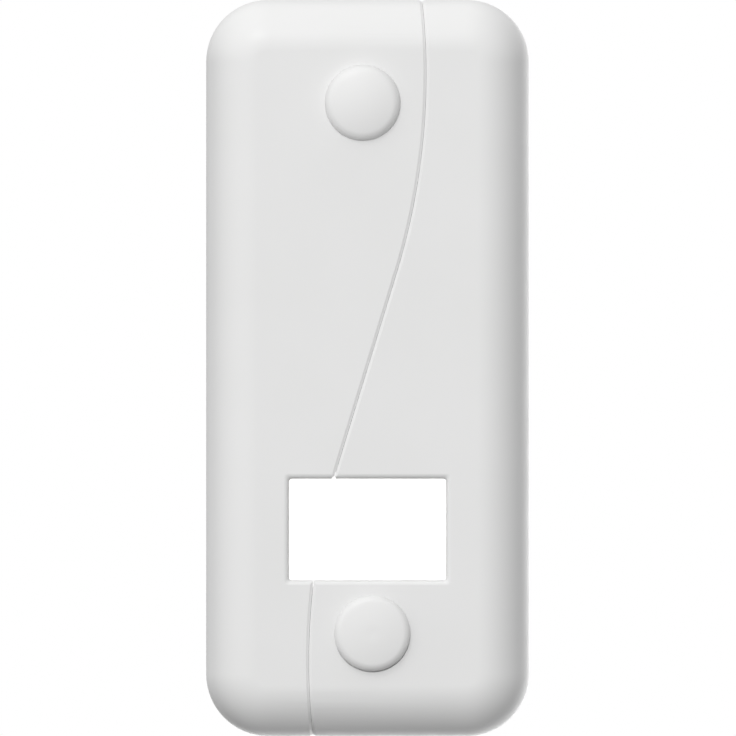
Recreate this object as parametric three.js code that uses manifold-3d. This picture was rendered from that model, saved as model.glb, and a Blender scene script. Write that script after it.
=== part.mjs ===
// Wall-mounted video doorbell.
//
// A rear housing hangs on a wall bracket and carries the circuit board. Two front covers, which meet on
// an S-shaped seam, close it. They hold the camera at the top, under a push-on privacy cap, and in the
// lower half a lit name plate above the round bell push.
//
// Everything is modelled face-on, in millimetres: x runs to the right, y runs up, and z runs out of the
// wall, from z = 0 at the wall. The last lines stand the doorbell up, so that +Z is up and it faces -Y.

import * as THREE from "three";
import { mergeVertices } from "three/addons/utils/BufferGeometryUtils.js";
import Module from "manifold-3d";

const wasm = await Module();
wasm.setup();

// ---------------------------------------------------------------------------------- driving sizes (mm)

// The closed body
const bodyWidth = 60.5;
const bodyHeight = 138;
const bodyDepth = 25; // wall to the flat of the face
const cornerRadius = 11.6; // corners seen from the front
const edgeRound = 9.6; // round-over between the face and the sides
const wall = 2; // covers and rear housing

// Clearances
const seatGap = 0.1; // between fixed pieces that lie on each other
const looseGap = 0.3; // round pieces that move, or that drop into place
const screwGap = 0.15; // round a screw's shank

// The seam between the covers: a leaning straight stretch through the centre, and an arc at each end
const seamLean = 17; // degrees from upright
const seamStraight = 18.6; // half the length of the straight stretch
const seamBend = 127; // radius of the two arcs
const seamGap = 0.3;
const lipWidth = 1.6; // how far the right cover's lip reaches behind the left cover
const lipRoot = 2.4; // how far it runs back behind its own cover
const lipThickness = 0.8;

// The two domes on the face
const domeRadius = 7.1;
const domeInset = 19.4; // from the end of the body to a dome's centre
const domeShift = 0.9; // the upper dome sits left of the middle, the lower one right
const domeRise = 2.6; // above the face
const domeEdge = 1.1; // rounding of the rim
const domeCrown = 0.5; // how much the top bulges
const domeSkin = 0.9; // thickness of the dome's top

// The bell push
const buttonTravel = 0.8;
const buttonSkirtRadius = 5.2;
const buttonSkirtWall = 0.9;
const buttonStemRadius = 2;
const guideWall = 1;
const guideFloor = 1;
const guideFlange = 1.2;
const guideRim = 0.4; // how far the flange stands out beyond the cup
const bellPostHeight = 2; // the posts that the cup is screwed to
const springWire = 0.5; // diameter
const springTurns = 3.5;
const clipThickness = 0.6;
const switchSide = 6.2;
const switchHeight = 3.4;
const plungerHeight = 5; // from the board to the top of the plunger
const plungerRadius = 1.7;

// The camera
const bezelWall = 0.9; // round the glass
const bezelProud = 1.4; // above the face, inside the privacy cap
const capFit = 0.15; // radial, between the cap and the bezel
const glassThickness = 1;
const glassLedge = 0.5; // width of the ledge that the glass sits on
const bezelFlange = 1.2;
const flangeLip = 1.3; // how far the flange stands out beyond the dome
const gasketThickness = 0.5;
const lensRadius = 4;
const frontLensRadius = 3;
const holderSide = 13;
const holderHeight = 5;
const sensorSide = 7.4;
const sensorHeight = 1.2;
const cameraBoardWidth = 13.6;
const cameraBoardThickness = 0.8;
const cameraBoardLift = 4; // from the rear housing's floor
const flexWidth = 4;
const flexThickness = 0.3;
const flexReach = 5.5; // how far it runs onto the main board
const connectorWidth = 3.2;

// The name plate
const windowWidth = 29.4;
const windowHeight = 19;
const windowInset = 29.3; // from the body's lower end to the window's lower edge
const windowCorner = 0.6;
const windowRecess = 0.6; // from the face down to the clear window
const windowFlange = 1.2; // both its thickness and how far it reaches behind the covers
const cardThickness = 0.4;
const guideThickness = 4; // the light guide
const frameWall = 1.2;
const frameLedge = 1.6;
const ledWidth = 3.5;
const ledDepth = 2.8;
const ledHeight = 0.9;
const ledPitch = 9;

// The rear housing and what stands on it
const sideStep = 0.6; // the covers overhang the rear housing by this much
const rearShadow = 0.8; // between the wall and the rear housing
const coverSide = 1; // straight side of the covers below the round-over
const rimSeal = 0.8; // thickness of the gasket under the covers
const floorBack = 6; // the rear face of the housing's floor
const floorThickness = 2;
const postRadius = 2.5;
const postInset = 8; // corner posts, from the sides
const postEndInset = 9; // corner posts, from the ends
const middlePostInset = 6.75;
const cameraPostRadius = 2.2;
const boardMargin = 11.05; // from the body's side to the board's edge
const boardThickness = 1.6;
const boardLift = 2.2; // from the floor to the board
const boardEndInset = 8;
const boardScrewInset = 3.8;

// Electronics
const partGap = 1.2; // between parts on the board, and to its edge
const shieldHeight = 2.6;
const coilRadius = 5;
const coilHeight = 4.5;
const capacitorRadius = 4;
const capacitorHeight = 7.5;
const antennaLength = 16;
const antennaWidth = 4.5;
const speakerLength = 30;
const speakerHeight = 9;
const speakerDepth = 4.5;
const magnetDepth = 2.2;
const foamThickness = 0.6;
const slotWidth = 1.5;
const slotHeight = 3.4;
const slotPitch = 3.6;
const slotCount = 7;
const slotLift = 1; // from the floor to the slots
const bootHalf = 3; // half the width of the microphone's boot
const soundHole = 0.6; // radius
const terminalPitch = 16;
const terminalHeight = 18; // above the centre
const terminalRadius = 2.8;

// The wall bracket
const bracketThickness = 2;
const bracketMargin = 0.65; // to the inside of the rear housing
const entryWidth = 26; // opening for the supply wires
const entryHeight = 16;
const slotAcross = 4.6; // wall screw slots
const slotAlong = 9;
const slotDistance = 48; // from the centre to each slot
const hookWidth = 8;
const hookReach = 1.5;
const footWidth = 12;
const footThickness = 1.6;
const securityHeight = 3.9; // the security screw's distance from the wall

// Screws: radius of the shank, radius and height of the head
const coverScrew = { shank: 1.1, head: 2.1, rise: 1.6, length: 9 };
const boardScrew = { shank: 1, head: 2, rise: 1.2, length: 3 };
const smallScrew = { shank: 0.9, head: 1.8, rise: 1.2, length: 5 };
const terminalScrew = { shank: 1.5, head: 3, rise: 1.7, length: 3.6 };
const securityScrew = { shank: 1.2, head: 2.3, rise: 1, length: 6 };

// ------------------------------------------------------------------------- levels that follow from them

const face = bodyDepth;
const coverInside = face - wall;
const parting = face - edgeRound - coverSide; // where the covers' rims end
const rim = parting - rimSeal - 2 * seatGap; // the top of the rear housing's rim
const floorFront = floorBack + floorThickness;
const boardBack = floorFront + boardLift + seatGap;
const boardFront = boardBack + boardThickness;
const halfWidth = bodyWidth / 2;
const halfHeight = bodyHeight / 2;

const camera = { x: -domeShift, y: halfHeight - domeInset };
const bell = { x: domeShift, y: domeInset - halfHeight };
const plate = { x: 0, y: windowInset + windowHeight / 2 - halfHeight };

// The camera
const bezelBore = lensRadius + looseGap + seatGap;
const glassRadius = bezelBore + glassLedge;
const bezelRadius = glassRadius + seatGap + bezelWall;
const bezelFlangeRadius = domeRadius + flangeLip;
const cameraScrewReach = bezelFlangeRadius + cameraPostRadius + looseGap;
const cameraBoardHalf = cameraScrewReach + cameraPostRadius;
const flexX = -(smallScrew.head + 0.5 + flexWidth / 2); // beside the lower camera screw
const cameraBoardBack = floorFront + cameraBoardLift;
const cameraBoardFront = cameraBoardBack + cameraBoardThickness;
const bezelTop = face + bezelProud;
const glassTop = bezelTop - looseGap;
const glassBack = glassTop - glassThickness;
const lensTop = glassBack - 2 * looseGap;

// The bell push
const guideBore = buttonSkirtRadius + looseGap;
const guideRadius = guideBore + guideWall;
const guideEar = guideRadius + guideRim + looseGap + cameraPostRadius;
const bellPostEnd = coverInside - bellPostHeight;
const earFront = bellPostEnd - seatGap;
const earBack = earFront - guideFlange;
const earScrew = { ...smallScrew, length: guideFlange + bellPostHeight + wall / 2 };
const plungerTop = boardFront + plungerHeight;
const stemEnd = plungerTop + seatGap;
const clipBack = stemEnd + 0.6;
const clipFront = clipBack + clipThickness;
const guideBack = clipFront + seatGap;
const buttonCeiling = face + domeRise - domeSkin;
const bellEars = [
  { x: guideEar, y: 0 },
  { x: 0, y: -guideEar },
];

// The name plate, from the covers back to the board
const paneHalf = { x: windowWidth / 2 + windowFlange, y: windowHeight / 2 + windowFlange };
const paneFront = coverInside - seatGap;
const paneBack = paneFront - windowFlange;
const cardFront = paneBack - seatGap;
const lightFront = cardFront - cardThickness - seatGap;
const lightBack = lightFront - guideThickness;
const frameBack = lightBack - seatGap - frameLedge;
const frameInner = { x: paneHalf.x + 0.2, y: paneHalf.y + 0.2 };
const frameOuter = { x: frameInner.x + frameWall, y: frameInner.y + frameWall };

// The posts on the covers, with the side of the seam that each is on: -1 left, 1 right
const cornerX = halfWidth - postInset;
const cornerY = halfHeight - postEndInset;
const middleX = halfWidth - middlePostInset;
const middleY = -(plate.y + frameOuter.y + postRadius + looseGap); // clear of the name plate's frame
const coverPosts = [
  { side: -1, x: -cornerX, y: cornerY },
  { side: -1, x: -middleX, y: -middleY },
  { side: -1, x: -cornerX, y: -cornerY },
  { side: 1, x: cornerX, y: cornerY },
  { side: 1, x: middleX, y: middleY },
  { side: 1, x: cornerX, y: -cornerY },
];

// The main board
const boardHalf = halfWidth - boardMargin;
const boardTop = camera.y - cameraBoardHalf - 1.5;
const boardBottom = boardEndInset - halfHeight;
const boardScrews = [];
for (const x of [boardScrewInset - boardHalf, boardHalf - boardScrewInset]) {
  for (const y of [boardBottom + boardScrewInset, boardTop - boardScrewInset]) {
    boardScrews.push({ x, y });
  }
}

// The rear housing's inside, and the bracket that fits behind its floor
const housingHalf = { x: halfWidth - sideStep, y: halfHeight - sideStep };
const housingCorner = cornerRadius - sideStep;
const cavityHalf = { x: housingHalf.x - wall, y: housingHalf.y - wall };
const cavityCorner = housingCorner - wall;
const bracketHalf = { x: cavityHalf.x - bracketMargin, y: cavityHalf.y - bracketMargin };
const terminals = [-terminalPitch / 2, terminalPitch / 2];
const hookX = cavityHalf.x - cavityCorner - hookWidth / 2;
const hooks = [-hookX, hookX];
const slotBack = floorFront + slotLift;
const speakerMiddle = postRadius + looseGap + speakerLength / 2 - middleY;
const microphoneX = boardScrewInset + boardScrew.head + bootHalf + partGap - boardHalf;

// --------------------------------------------------------------------------------------- small helpers

const overcut = 1; // how far a cutter reaches past what it cuts
const cornerSteps = 4; // pairs of straight steps in a quarter of the body's corners
const roundSides = 28;
const smallSides = 16;

// A closed three.js geometry as a solid, for joining and cutting.
function toSolid(geometry) {
  const bare = geometry.clone();
  bare.deleteAttribute("normal");
  bare.deleteAttribute("uv");
  const merged = mergeVertices(bare, 1e-4);
  return new wasm.Manifold(
    new wasm.Mesh({
      numProp: 3,
      vertProperties: merged.attributes.position.array,
      triVerts: new Uint32Array(merged.index.array),
    }),
  );
}

function toGeometry(solid) {
  const mesh = solid.getMesh();
  const geometry = new THREE.BufferGeometry();
  geometry.setAttribute("position", new THREE.BufferAttribute(mesh.vertProperties, 3));
  geometry.setIndex(new THREE.BufferAttribute(mesh.triVerts, 1));
  return geometry;
}

function roundedRectangle(halfX, halfY, radius, x = 0, y = 0) {
  const shape = new THREE.Shape();
  const r = Math.min(radius, halfX, halfY);
  shape.absarc(x + halfX - r, y + halfY - r, r, 0, Math.PI / 2);
  shape.absarc(x - halfX + r, y + halfY - r, r, Math.PI / 2, Math.PI);
  shape.absarc(x - halfX + r, y - halfY + r, r, Math.PI, 1.5 * Math.PI);
  shape.absarc(x + halfX - r, y - halfY + r, r, 1.5 * Math.PI, 2 * Math.PI);
  shape.closePath();
  return shape;
}

// A shape made solid from z = back to z = front.
function slab(shape, back, front, curveSegments = 6) {
  const options = { depth: front - back, bevelEnabled: false, curveSegments };
  return toSolid(new THREE.ExtrudeGeometry(shape, options).translate(0, 0, back));
}

function block(x, y, halfX, halfY, back, front) {
  const geometry = new THREE.BoxGeometry(2 * halfX, 2 * halfY, front - back);
  return toSolid(geometry.translate(x, y, (front + back) / 2));
}

function rod(x, y, radius, back, front, sides = smallSides) {
  const geometry = new THREE.CylinderGeometry(radius, radius, front - back, sides);
  return toSolid(geometry.rotateX(Math.PI / 2).translate(x, y, (front + back) / 2));
}

// A profile of [radius, z] points, turned about the z axis. It starts and ends on the axis, or closes on
// itself, and runs so that z rises along its outside.
function turned(profile, sides = roundSides) {
  const points = profile.map(([radius, z]) => new THREE.Vector2(radius, z));
  return new THREE.LatheGeometry(points, sides).rotateX(Math.PI / 2);
}

function ring(inner, outer, back, front, sides = roundSides) {
  return turned([[inner, back], [outer, back], [outer, front], [inner, front], [inner, back]], sides);
}

function join(solids) {
  return solids.reduce((whole, solid) => whole.add(solid));
}

function cut(solid, cutters) {
  return cutters.reduce((rest, cutter) => rest.subtract(cutter), solid);
}

// ------------------------------------------------------------------------------------------- materials

function finish(color, roughness, metalness = 0) {
  return new THREE.MeshStandardMaterial({ color, roughness, metalness });
}

const whitePlastic = finish(0xe9e9e7, 0.42);
const housingPlastic = finish(0xe2e2df, 0.5);
const blackPlastic = finish(0x151517, 0.45);
const naturalPlastic = finish(0xd9d8d2, 0.5);
const clearPlastic = new THREE.MeshStandardMaterial({
  color: 0xf7fafa, roughness: 0.05, transparent: true, opacity: 0.35,
});
const opticalGlass = new THREE.MeshStandardMaterial({
  color: 0x223040, roughness: 0.03, transparent: true, opacity: 0.45,
});
const card = finish(0xfbfbf9, 0.8);
const silicone = finish(0x55575a, 0.7);
const foam = finish(0x2c2d2f, 0.95);
const zincSteel = finish(0xb9bcc0, 0.35, 1);
const springSteel = finish(0x9da1a6, 0.3, 1);
const brass = finish(0xc9a555, 0.35, 1);
const circuitBoard = finish(0x1d5a3a, 0.5);
const shieldTin = finish(0xc4c7c9, 0.4, 1);
const amberFilm = finish(0xb06a22, 0.45);
const coneFilm = finish(0x3a3c40, 0.6);

// A named piece at a place in its group.
function piece(name, geometry, material, x = 0, y = 0, z = 0) {
  const mesh = new THREE.Mesh(geometry.isBufferGeometry ? geometry : toGeometry(geometry), material);
  mesh.name = name;
  mesh.position.set(x, y, z);
  return mesh;
}

function groupAt(place, pieces) {
  const group = new THREE.Group();
  group.position.set(place.x, place.y, 0);
  group.add(...pieces);
  return group;
}

// A pan-head screw whose head rests on z = 0 and stands out on the negative side, with a conical socket.
// The shank runs towards +z.
function screwGeometry({ shank, head, rise, length }) {
  return turned(
    [
      [0, -0.35 * rise],
      [0.4 * head, -rise],
      [0.75 * head, -rise],
      [head, -0.5 * rise],
      [head, 0],
      [shank, 0],
      [shank, length],
      [0, length],
    ],
    10,
  );
}

// ------------------------------------------------------------------------------------- the front covers

// The rounded block of the closed front, taken in by inset on every side. Its rear is left long.
function frontBlock(inset, x = 0, y = 0) {
  const round = edgeRound - inset;
  const depth = face - parting;
  const outline = roundedRectangle(halfWidth - inset, halfHeight - inset, cornerRadius - inset);
  const geometry = new THREE.ExtrudeGeometry(outline, {
    depth,
    bevelThickness: round,
    bevelSize: round,
    bevelOffset: -round,
    bevelSegments: 6,
    curveSegments: cornerSteps,
  });
  return toSolid(geometry.translate(x, y, face - inset - round - depth));
}

// All that lies on one side of the seam (-1 left, 1 right), with the seam moved sideways by shift.
function seamSide(side, shift, back, front) {
  const lean = THREE.MathUtils.degToRad(seamLean);
  const bendX = seamStraight * Math.sin(lean) - seamBend * Math.cos(lean);
  const bendY = seamStraight * Math.cos(lean) + seamBend * Math.sin(lean);
  const end = Math.asin((halfHeight + 2 * overcut - bendY) / seamBend);
  const region = new THREE.Shape();
  region.absarc(shift - bendX, -bendY, seamBend, Math.PI + end, Math.PI - lean, true);
  region.absarc(shift + bendX, bendY, seamBend, -lean, end);
  region.lineTo(side * bodyWidth, halfHeight + 2 * overcut);
  region.lineTo(side * bodyWidth, -halfHeight - 2 * overcut);
  region.closePath();
  return slab(region, back, front, 5);
}

// Both covers in one: the shell with the window and the two round holes.
function frontShell() {
  const rimPlane = block(0, 0, bodyWidth, bodyHeight, parting, face + overcut);
  const opening = roundedRectangle(windowWidth / 2, windowHeight / 2, windowCorner, plate.x, plate.y);
  return cut(frontBlock(0).intersect(rimPlane), [
    frontBlock(wall),
    slab(opening, coverInside - overcut, face + overcut, 3),
    rod(camera.x, camera.y, bezelRadius + looseGap, coverInside - overcut, face + overcut, roundSides),
    rod(bell.x, bell.y, guideBore, coverInside - overcut, face + overcut, roundSides),
  ]);
}

// A post on the inside of a cover, with a hole for its screw in the free end.
function post(x, y, radius, end, screw) {
  const hole = rod(x, y, screw.shank + screwGap, end - overcut, end + screw.length + overcut, 12);
  return rod(x, y, radius, end, coverInside + wall / 4).subtract(hole);
}

function screwPosts(side) {
  return coverPosts
    .filter((place) => place.side === side)
    .map(({ x, y }) => post(x, y, postRadius, floorFront + looseGap, coverScrew));
}

function leftFrontCover() {
  const cover = frontShell().intersect(seamSide(-1, -seamGap / 2, 0, face + overcut));
  const cameraPosts = [-cameraScrewReach, cameraScrewReach].map((reach) =>
    post(camera.x, camera.y + reach, cameraPostRadius, cameraBoardFront + seatGap, smallScrew),
  );
  return join([cover, ...screwPosts(-1), ...cameraPosts]);
}

// The lip behind the seam, which keeps light and water out of it. Its root is part of the right cover, and
// its tongue reaches behind the left one.
function seamLip() {
  const front = coverInside - looseGap;
  const back = front - lipThickness;
  const tongue = seamSide(1, -lipWidth, back, front).intersect(frontBlock(wall + looseGap));
  const root = seamSide(1, seamGap / 2, back, face).intersect(frontBlock(wall / 2));
  const room = looseGap + seatGap;
  return cut(tongue.add(root), [
    seamSide(1, lipRoot, back - overcut, face + overcut),
    block(plate.x, plate.y, frameOuter.x + room, frameOuter.y + room, back - overcut, coverInside),
    block(plate.x, plate.y, windowWidth / 2 + seatGap, windowHeight / 2 + seatGap, back, face + overcut),
    rod(camera.x, camera.y, bezelFlangeRadius + room, back - overcut, face, roundSides),
    rod(bell.x, bell.y, guideRadius + guideRim + room, back - overcut, face, roundSides),
  ]);
}

function rightFrontCover() {
  const cover = frontShell().intersect(seamSide(1, seamGap / 2, 0, face + overcut));
  const bellPosts = bellEars.map(({ x, y }) =>
    rod(bell.x + x, bell.y + y, cameraPostRadius, bellPostEnd, coverInside + wall / 4),
  );
  const bellPostHoles = bellEars.map(({ x, y }) =>
    rod(bell.x + x, bell.y + y, earScrew.shank + screwGap, bellPostEnd - overcut, face - wall / 3, 12),
  );
  return cut(join([cover, ...screwPosts(1), ...bellPosts, seamLip()]), bellPostHoles);
}

// ------------------------------------------------------------------------- the bell push, round x = y = 0

// The outside of a dome from its rim to its middle, as a turned profile.
function domeProfile(rimBack) {
  const top = face + domeRise;
  const shoulder = top - domeCrown;
  const points = [[domeRadius, rimBack], [domeRadius, shoulder - domeEdge]];
  for (let step = 1; step <= 4; step++) {
    const angle = (step / 4) * (Math.PI / 2);
    points.push([
      domeRadius - domeEdge * (1 - Math.cos(angle)),
      shoulder - domeEdge * (1 - Math.sin(angle)),
    ]);
  }
  points.push([0.55 * (domeRadius - domeEdge), top - 0.3 * domeCrown], [0, top]);
  return points;
}

function bellButton() {
  const rimBack = face + buttonTravel + 0.2;
  const skirtEnd = guideBack + guideFloor + buttonTravel + seatGap + 0.1;
  const grooveBack = clipBack - seatGap;
  const grooveFront = clipFront + seatGap;
  const groove = buttonStemRadius - 0.4;
  return turned([
    [0, stemEnd],
    [buttonStemRadius, stemEnd],
    [buttonStemRadius, grooveBack],
    [groove, grooveBack],
    [groove, grooveFront],
    [buttonStemRadius, grooveFront],
    [buttonStemRadius, buttonCeiling],
    [buttonSkirtRadius - buttonSkirtWall, buttonCeiling],
    [buttonSkirtRadius - buttonSkirtWall, skirtEnd],
    [buttonSkirtRadius, skirtEnd],
    [buttonSkirtRadius, rimBack],
    ...domeProfile(rimBack),
  ]);
}

// The cup that guides the button, with an ear for each of its screws.
function buttonGuide() {
  const front = coverInside - seatGap;
  const flange = ring(guideBore, guideRadius + guideRim, front - guideFlange, front);
  const cup = turned([
    [buttonStemRadius + looseGap, guideBack],
    [guideRadius, guideBack],
    [guideRadius, front],
    [guideBore, front],
    [guideBore, guideBack + guideFloor],
    [buttonStemRadius + looseGap, guideBack + guideFloor],
    [buttonStemRadius + looseGap, guideBack],
  ]);
  const ears = bellEars.map(({ x, y }) => {
    const armX = x ? x / 2 : cameraPostRadius;
    const armY = y ? -y / 2 : cameraPostRadius;
    const arm = block(x / 2, y / 2, armX, armY, earBack, earFront);
    return rod(x, y, cameraPostRadius, earBack, earFront).add(arm);
  });
  const holes = bellEars.map(({ x, y }) =>
    rod(x, y, earScrew.shank + screwGap, earBack - overcut, earFront + overcut, 12),
  );
  const bore = rod(0, 0, guideBore, guideBack + guideFloor, face, roundSides);
  return cut(join([toSolid(cup), toSolid(flange), ...ears]), [...holes, bore]);
}

class Coil extends THREE.Curve {
  constructor(radius, back, front, turns) {
    super();
    Object.assign(this, { radius, back, front, turns });
  }
  getPoint(t, target = new THREE.Vector3()) {
    const angle = 2 * Math.PI * this.turns * t;
    const z = this.back + (this.front - this.back) * t;
    return target.set(this.radius * Math.cos(angle), this.radius * Math.sin(angle), z);
  }
}

function buttonSpring() {
  const radius = (buttonStemRadius + buttonSkirtRadius - buttonSkirtWall) / 2;
  const back = guideBack + guideFloor + springWire / 2 + seatGap;
  const front = buttonCeiling - springWire / 2 - seatGap;
  const section = new THREE.Shape().absarc(0, 0, springWire / 2, 0, 2 * Math.PI);
  return new THREE.ExtrudeGeometry(section, {
    extrudePath: new Coil(radius, back, front, springTurns),
    steps: Math.round(16 * springTurns),
    curveSegments: 3,
  });
}

function buttonClip() {
  const inner = buttonStemRadius - 0.3;
  const outer = buttonStemRadius + 1.5;
  const mouth = 0.5; // half the angle of the opening, in radians
  const shape = new THREE.Shape();
  shape.absarc(0, 0, outer, mouth, 2 * Math.PI - mouth);
  shape.absarc(0, 0, inner, 2 * Math.PI - mouth, mouth, true);
  shape.closePath();
  return slab(shape, clipBack, clipFront, 10);
}

function switchBase() {
  const back = boardFront + seatGap;
  const front = back + switchHeight;
  return cut(block(0, 0, switchSide / 2, switchSide / 2, back, front), [
    rod(0, 0, plungerRadius + 1, back + 0.6, front - 0.4),
    rod(0, 0, plungerRadius + 0.2, back + 1, front + overcut),
  ]);
}

function switchPlunger() {
  const shoulder = boardFront + seatGap + switchHeight - 0.5;
  return turned(
    [
      [0, shoulder - 0.6],
      [plungerRadius + 0.7, shoulder - 0.6],
      [plungerRadius + 0.7, shoulder],
      [plungerRadius, shoulder],
      [plungerRadius, plungerTop],
      [0, plungerTop],
    ],
    smallSides,
  );
}

function bellPush() {
  const screw = screwGeometry(earScrew);
  return groupAt(bell, [
    piece("bell_button", bellButton(), whitePlastic),
    piece("button_guide", buttonGuide(), naturalPlastic),
    piece("button_spring", buttonSpring(), springSteel),
    piece("button_clip", buttonClip(), springSteel),
    piece("switch_base", switchBase(), blackPlastic),
    piece("switch_plunger", switchPlunger(), naturalPlastic),
    ...bellEars.map(({ x, y }, i) =>
      piece(`guide_screw_${i + 1}`, screw, zincSteel, x, y, earBack - seatGap),
    ),
  ]);
}

// ---------------------------------------------------------------------------- the camera, round x = y = 0

// The privacy cap is a shallow cup that pushes over the bezel.
function cameraCap() {
  const rimBack = face + capFit;
  const inner = bezelRadius + capFit;
  return turned([[0, buttonCeiling], [inner, buttonCeiling], [inner, rimBack], ...domeProfile(rimBack)]);
}

function cameraBezel() {
  const seat = glassRadius + seatGap;
  const flangeFront = coverInside - gasketThickness - 2 * seatGap;
  const flangeBack = flangeFront - bezelFlange;
  const back = flangeBack - bezelFlange;
  return turned([
    [bezelBore, back],
    [bezelRadius, back],
    [bezelRadius, flangeBack],
    [bezelFlangeRadius, flangeBack],
    [bezelFlangeRadius, flangeFront],
    [bezelRadius, flangeFront],
    [bezelRadius, bezelTop],
    [seat, bezelTop],
    [seat, glassBack - seatGap],
    [bezelBore, glassBack - seatGap],
    [bezelBore, back],
  ]);
}

function cameraGasket() {
  const front = coverInside - seatGap;
  return ring(bezelRadius + 0.4, bezelFlangeRadius - 0.3, front - gasketThickness, front);
}

function lensBarrel() {
  const back = cameraBoardFront + holderHeight - 2.5;
  const seat = lensTop - 1.2;
  return turned([
    [0, back],
    [lensRadius, back],
    [lensRadius, lensTop - 0.4],
    [lensRadius - 0.4, lensTop],
    [frontLensRadius + seatGap, lensTop],
    [frontLensRadius + seatGap, seat],
    [0, seat],
  ]);
}

function frontLens() {
  const back = lensTop - 1.2 + seatGap;
  return turned([
    [0, back],
    [frontLensRadius, back],
    [frontLensRadius, back + 0.7],
    [0.8 * frontLensRadius, back + 1.05],
    [0.45 * frontLensRadius, back + 1.3],
    [0, back + 1.4],
  ]);
}

function lensHolder() {
  const back = cameraBoardFront + seatGap;
  const half = holderSide / 2;
  const well = sensorSide / 2 + 0.6;
  return cut(block(0, 0, half, half, back, back + holderHeight), [
    block(0, 0, well, well, back - overcut, back + sensorHeight + 1),
    rod(0, 0, lensRadius + 0.2, back, back + holderHeight + overcut, roundSides),
  ]);
}

function cameraBoard() {
  const outline = roundedRectangle(cameraBoardWidth / 2, cameraBoardHalf, 1);
  const holes = [-cameraScrewReach, cameraScrewReach].map((y) =>
    rod(0, y, smallScrew.shank + screwGap, cameraBoardBack - overcut, cameraBoardFront + overcut, 12),
  );
  return cut(slab(outline, cameraBoardBack, cameraBoardFront, 3), holes);
}

// The ribbon from the camera board's back, over the top edge of the main board, to its connector.
function cameraFlex() {
  const under = cameraBoardBack - seatGap - flexThickness;
  const over = boardFront + seatGap;
  const route = [
    [4 - cameraBoardHalf, under],
    [-0.5 - cameraBoardHalf, under],
    [boardTop - camera.y + 0.3, over],
    [boardTop - camera.y - flexReach, over],
  ];
  const shape = new THREE.Shape(route.map(([y, z]) => new THREE.Vector2(y, z)));
  for (const [y, z] of [...route].reverse()) {
    shape.lineTo(y, z + flexThickness);
  }
  shape.closePath();
  const ribbon = new THREE.ExtrudeGeometry(shape, { depth: flexWidth, bevelEnabled: false });
  return ribbon.rotateY(Math.PI / 2).rotateX(Math.PI / 2).translate(flexX - flexWidth / 2, 0, 0);
}

function cameraModule() {
  const screw = screwGeometry(smallScrew);
  const sensor = new THREE.BoxGeometry(sensorSide, sensorSide, sensorHeight);
  const sensorZ = cameraBoardFront + seatGap + sensorHeight / 2;
  return groupAt(camera, [
    piece("camera_cap", cameraCap(), whitePlastic),
    piece("camera_bezel", cameraBezel(), blackPlastic),
    piece("camera_gasket", cameraGasket(), silicone),
    piece("camera_glass", ring(0, glassRadius, glassBack, glassTop), opticalGlass),
    piece("front_lens", frontLens(), opticalGlass),
    piece("lens_barrel", lensBarrel(), blackPlastic),
    piece("lens_holder", lensHolder(), blackPlastic),
    piece("image_sensor", sensor, blackPlastic, 0, 0, sensorZ),
    piece("camera_board", cameraBoard(), circuitBoard),
    piece("camera_flex", cameraFlex(), amberFilm),
    ...[-cameraScrewReach, cameraScrewReach].map((y, i) =>
      piece(`camera_screw_${i + 1}`, screw, zincSteel, 0, y, cameraBoardBack - seatGap),
    ),
  ]);
}

// ------------------------------------------------------------------------ the name plate, round x = y = 0

function nameWindow() {
  const flange = block(0, 0, paneHalf.x, paneHalf.y, paneBack, paneFront);
  const clear = 0.2;
  const boss = roundedRectangle(windowWidth / 2 - clear, windowHeight / 2 - clear, windowCorner - clear);
  return flange.add(slab(boss, paneBack, face - windowRecess, 3));
}

// The frame keeps inside the covers, and its lower side makes way for the bell push.
function cardFrame() {
  const guide = guideRadius + guideRim + looseGap;
  const outside = block(0, 0, frameOuter.x, frameOuter.y, frameBack, paneFront);
  return cut(outside.intersect(frontBlock(wall + seatGap, -plate.x, -plate.y)), [
    block(0, 0, frameInner.x, frameInner.y, frameBack + frameLedge, face),
    block(0, 0, windowWidth / 2, windowHeight / 2, frameBack - overcut, face),
    rod(bell.x - plate.x, bell.y - plate.y, guide, frameBack - overcut, face, roundSides),
  ]);
}

function namePlate() {
  const sheet = (thickness) => new THREE.BoxGeometry(2 * paneHalf.x, 2 * paneHalf.y, thickness);
  const led = new THREE.BoxGeometry(ledWidth, ledDepth, ledHeight);
  const ledZ = boardFront + seatGap + ledHeight / 2;
  return groupAt(plate, [
    piece("name_window", nameWindow(), clearPlastic),
    piece("name_card", sheet(cardThickness), card, 0, 0, cardFront - cardThickness / 2),
    piece("light_guide", sheet(guideThickness), clearPlastic, 0, 0, lightFront - guideThickness / 2),
    piece("card_frame", cardFrame(), whitePlastic),
    ...["left", "centre", "right"].map((side, i) =>
      piece(`name_led_${side}`, led, card, (i - 1) * ledPitch, 0, ledZ),
    ),
  ]);
}

// -------------------------------------------------------------------- the rear housing and its electronics

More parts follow.
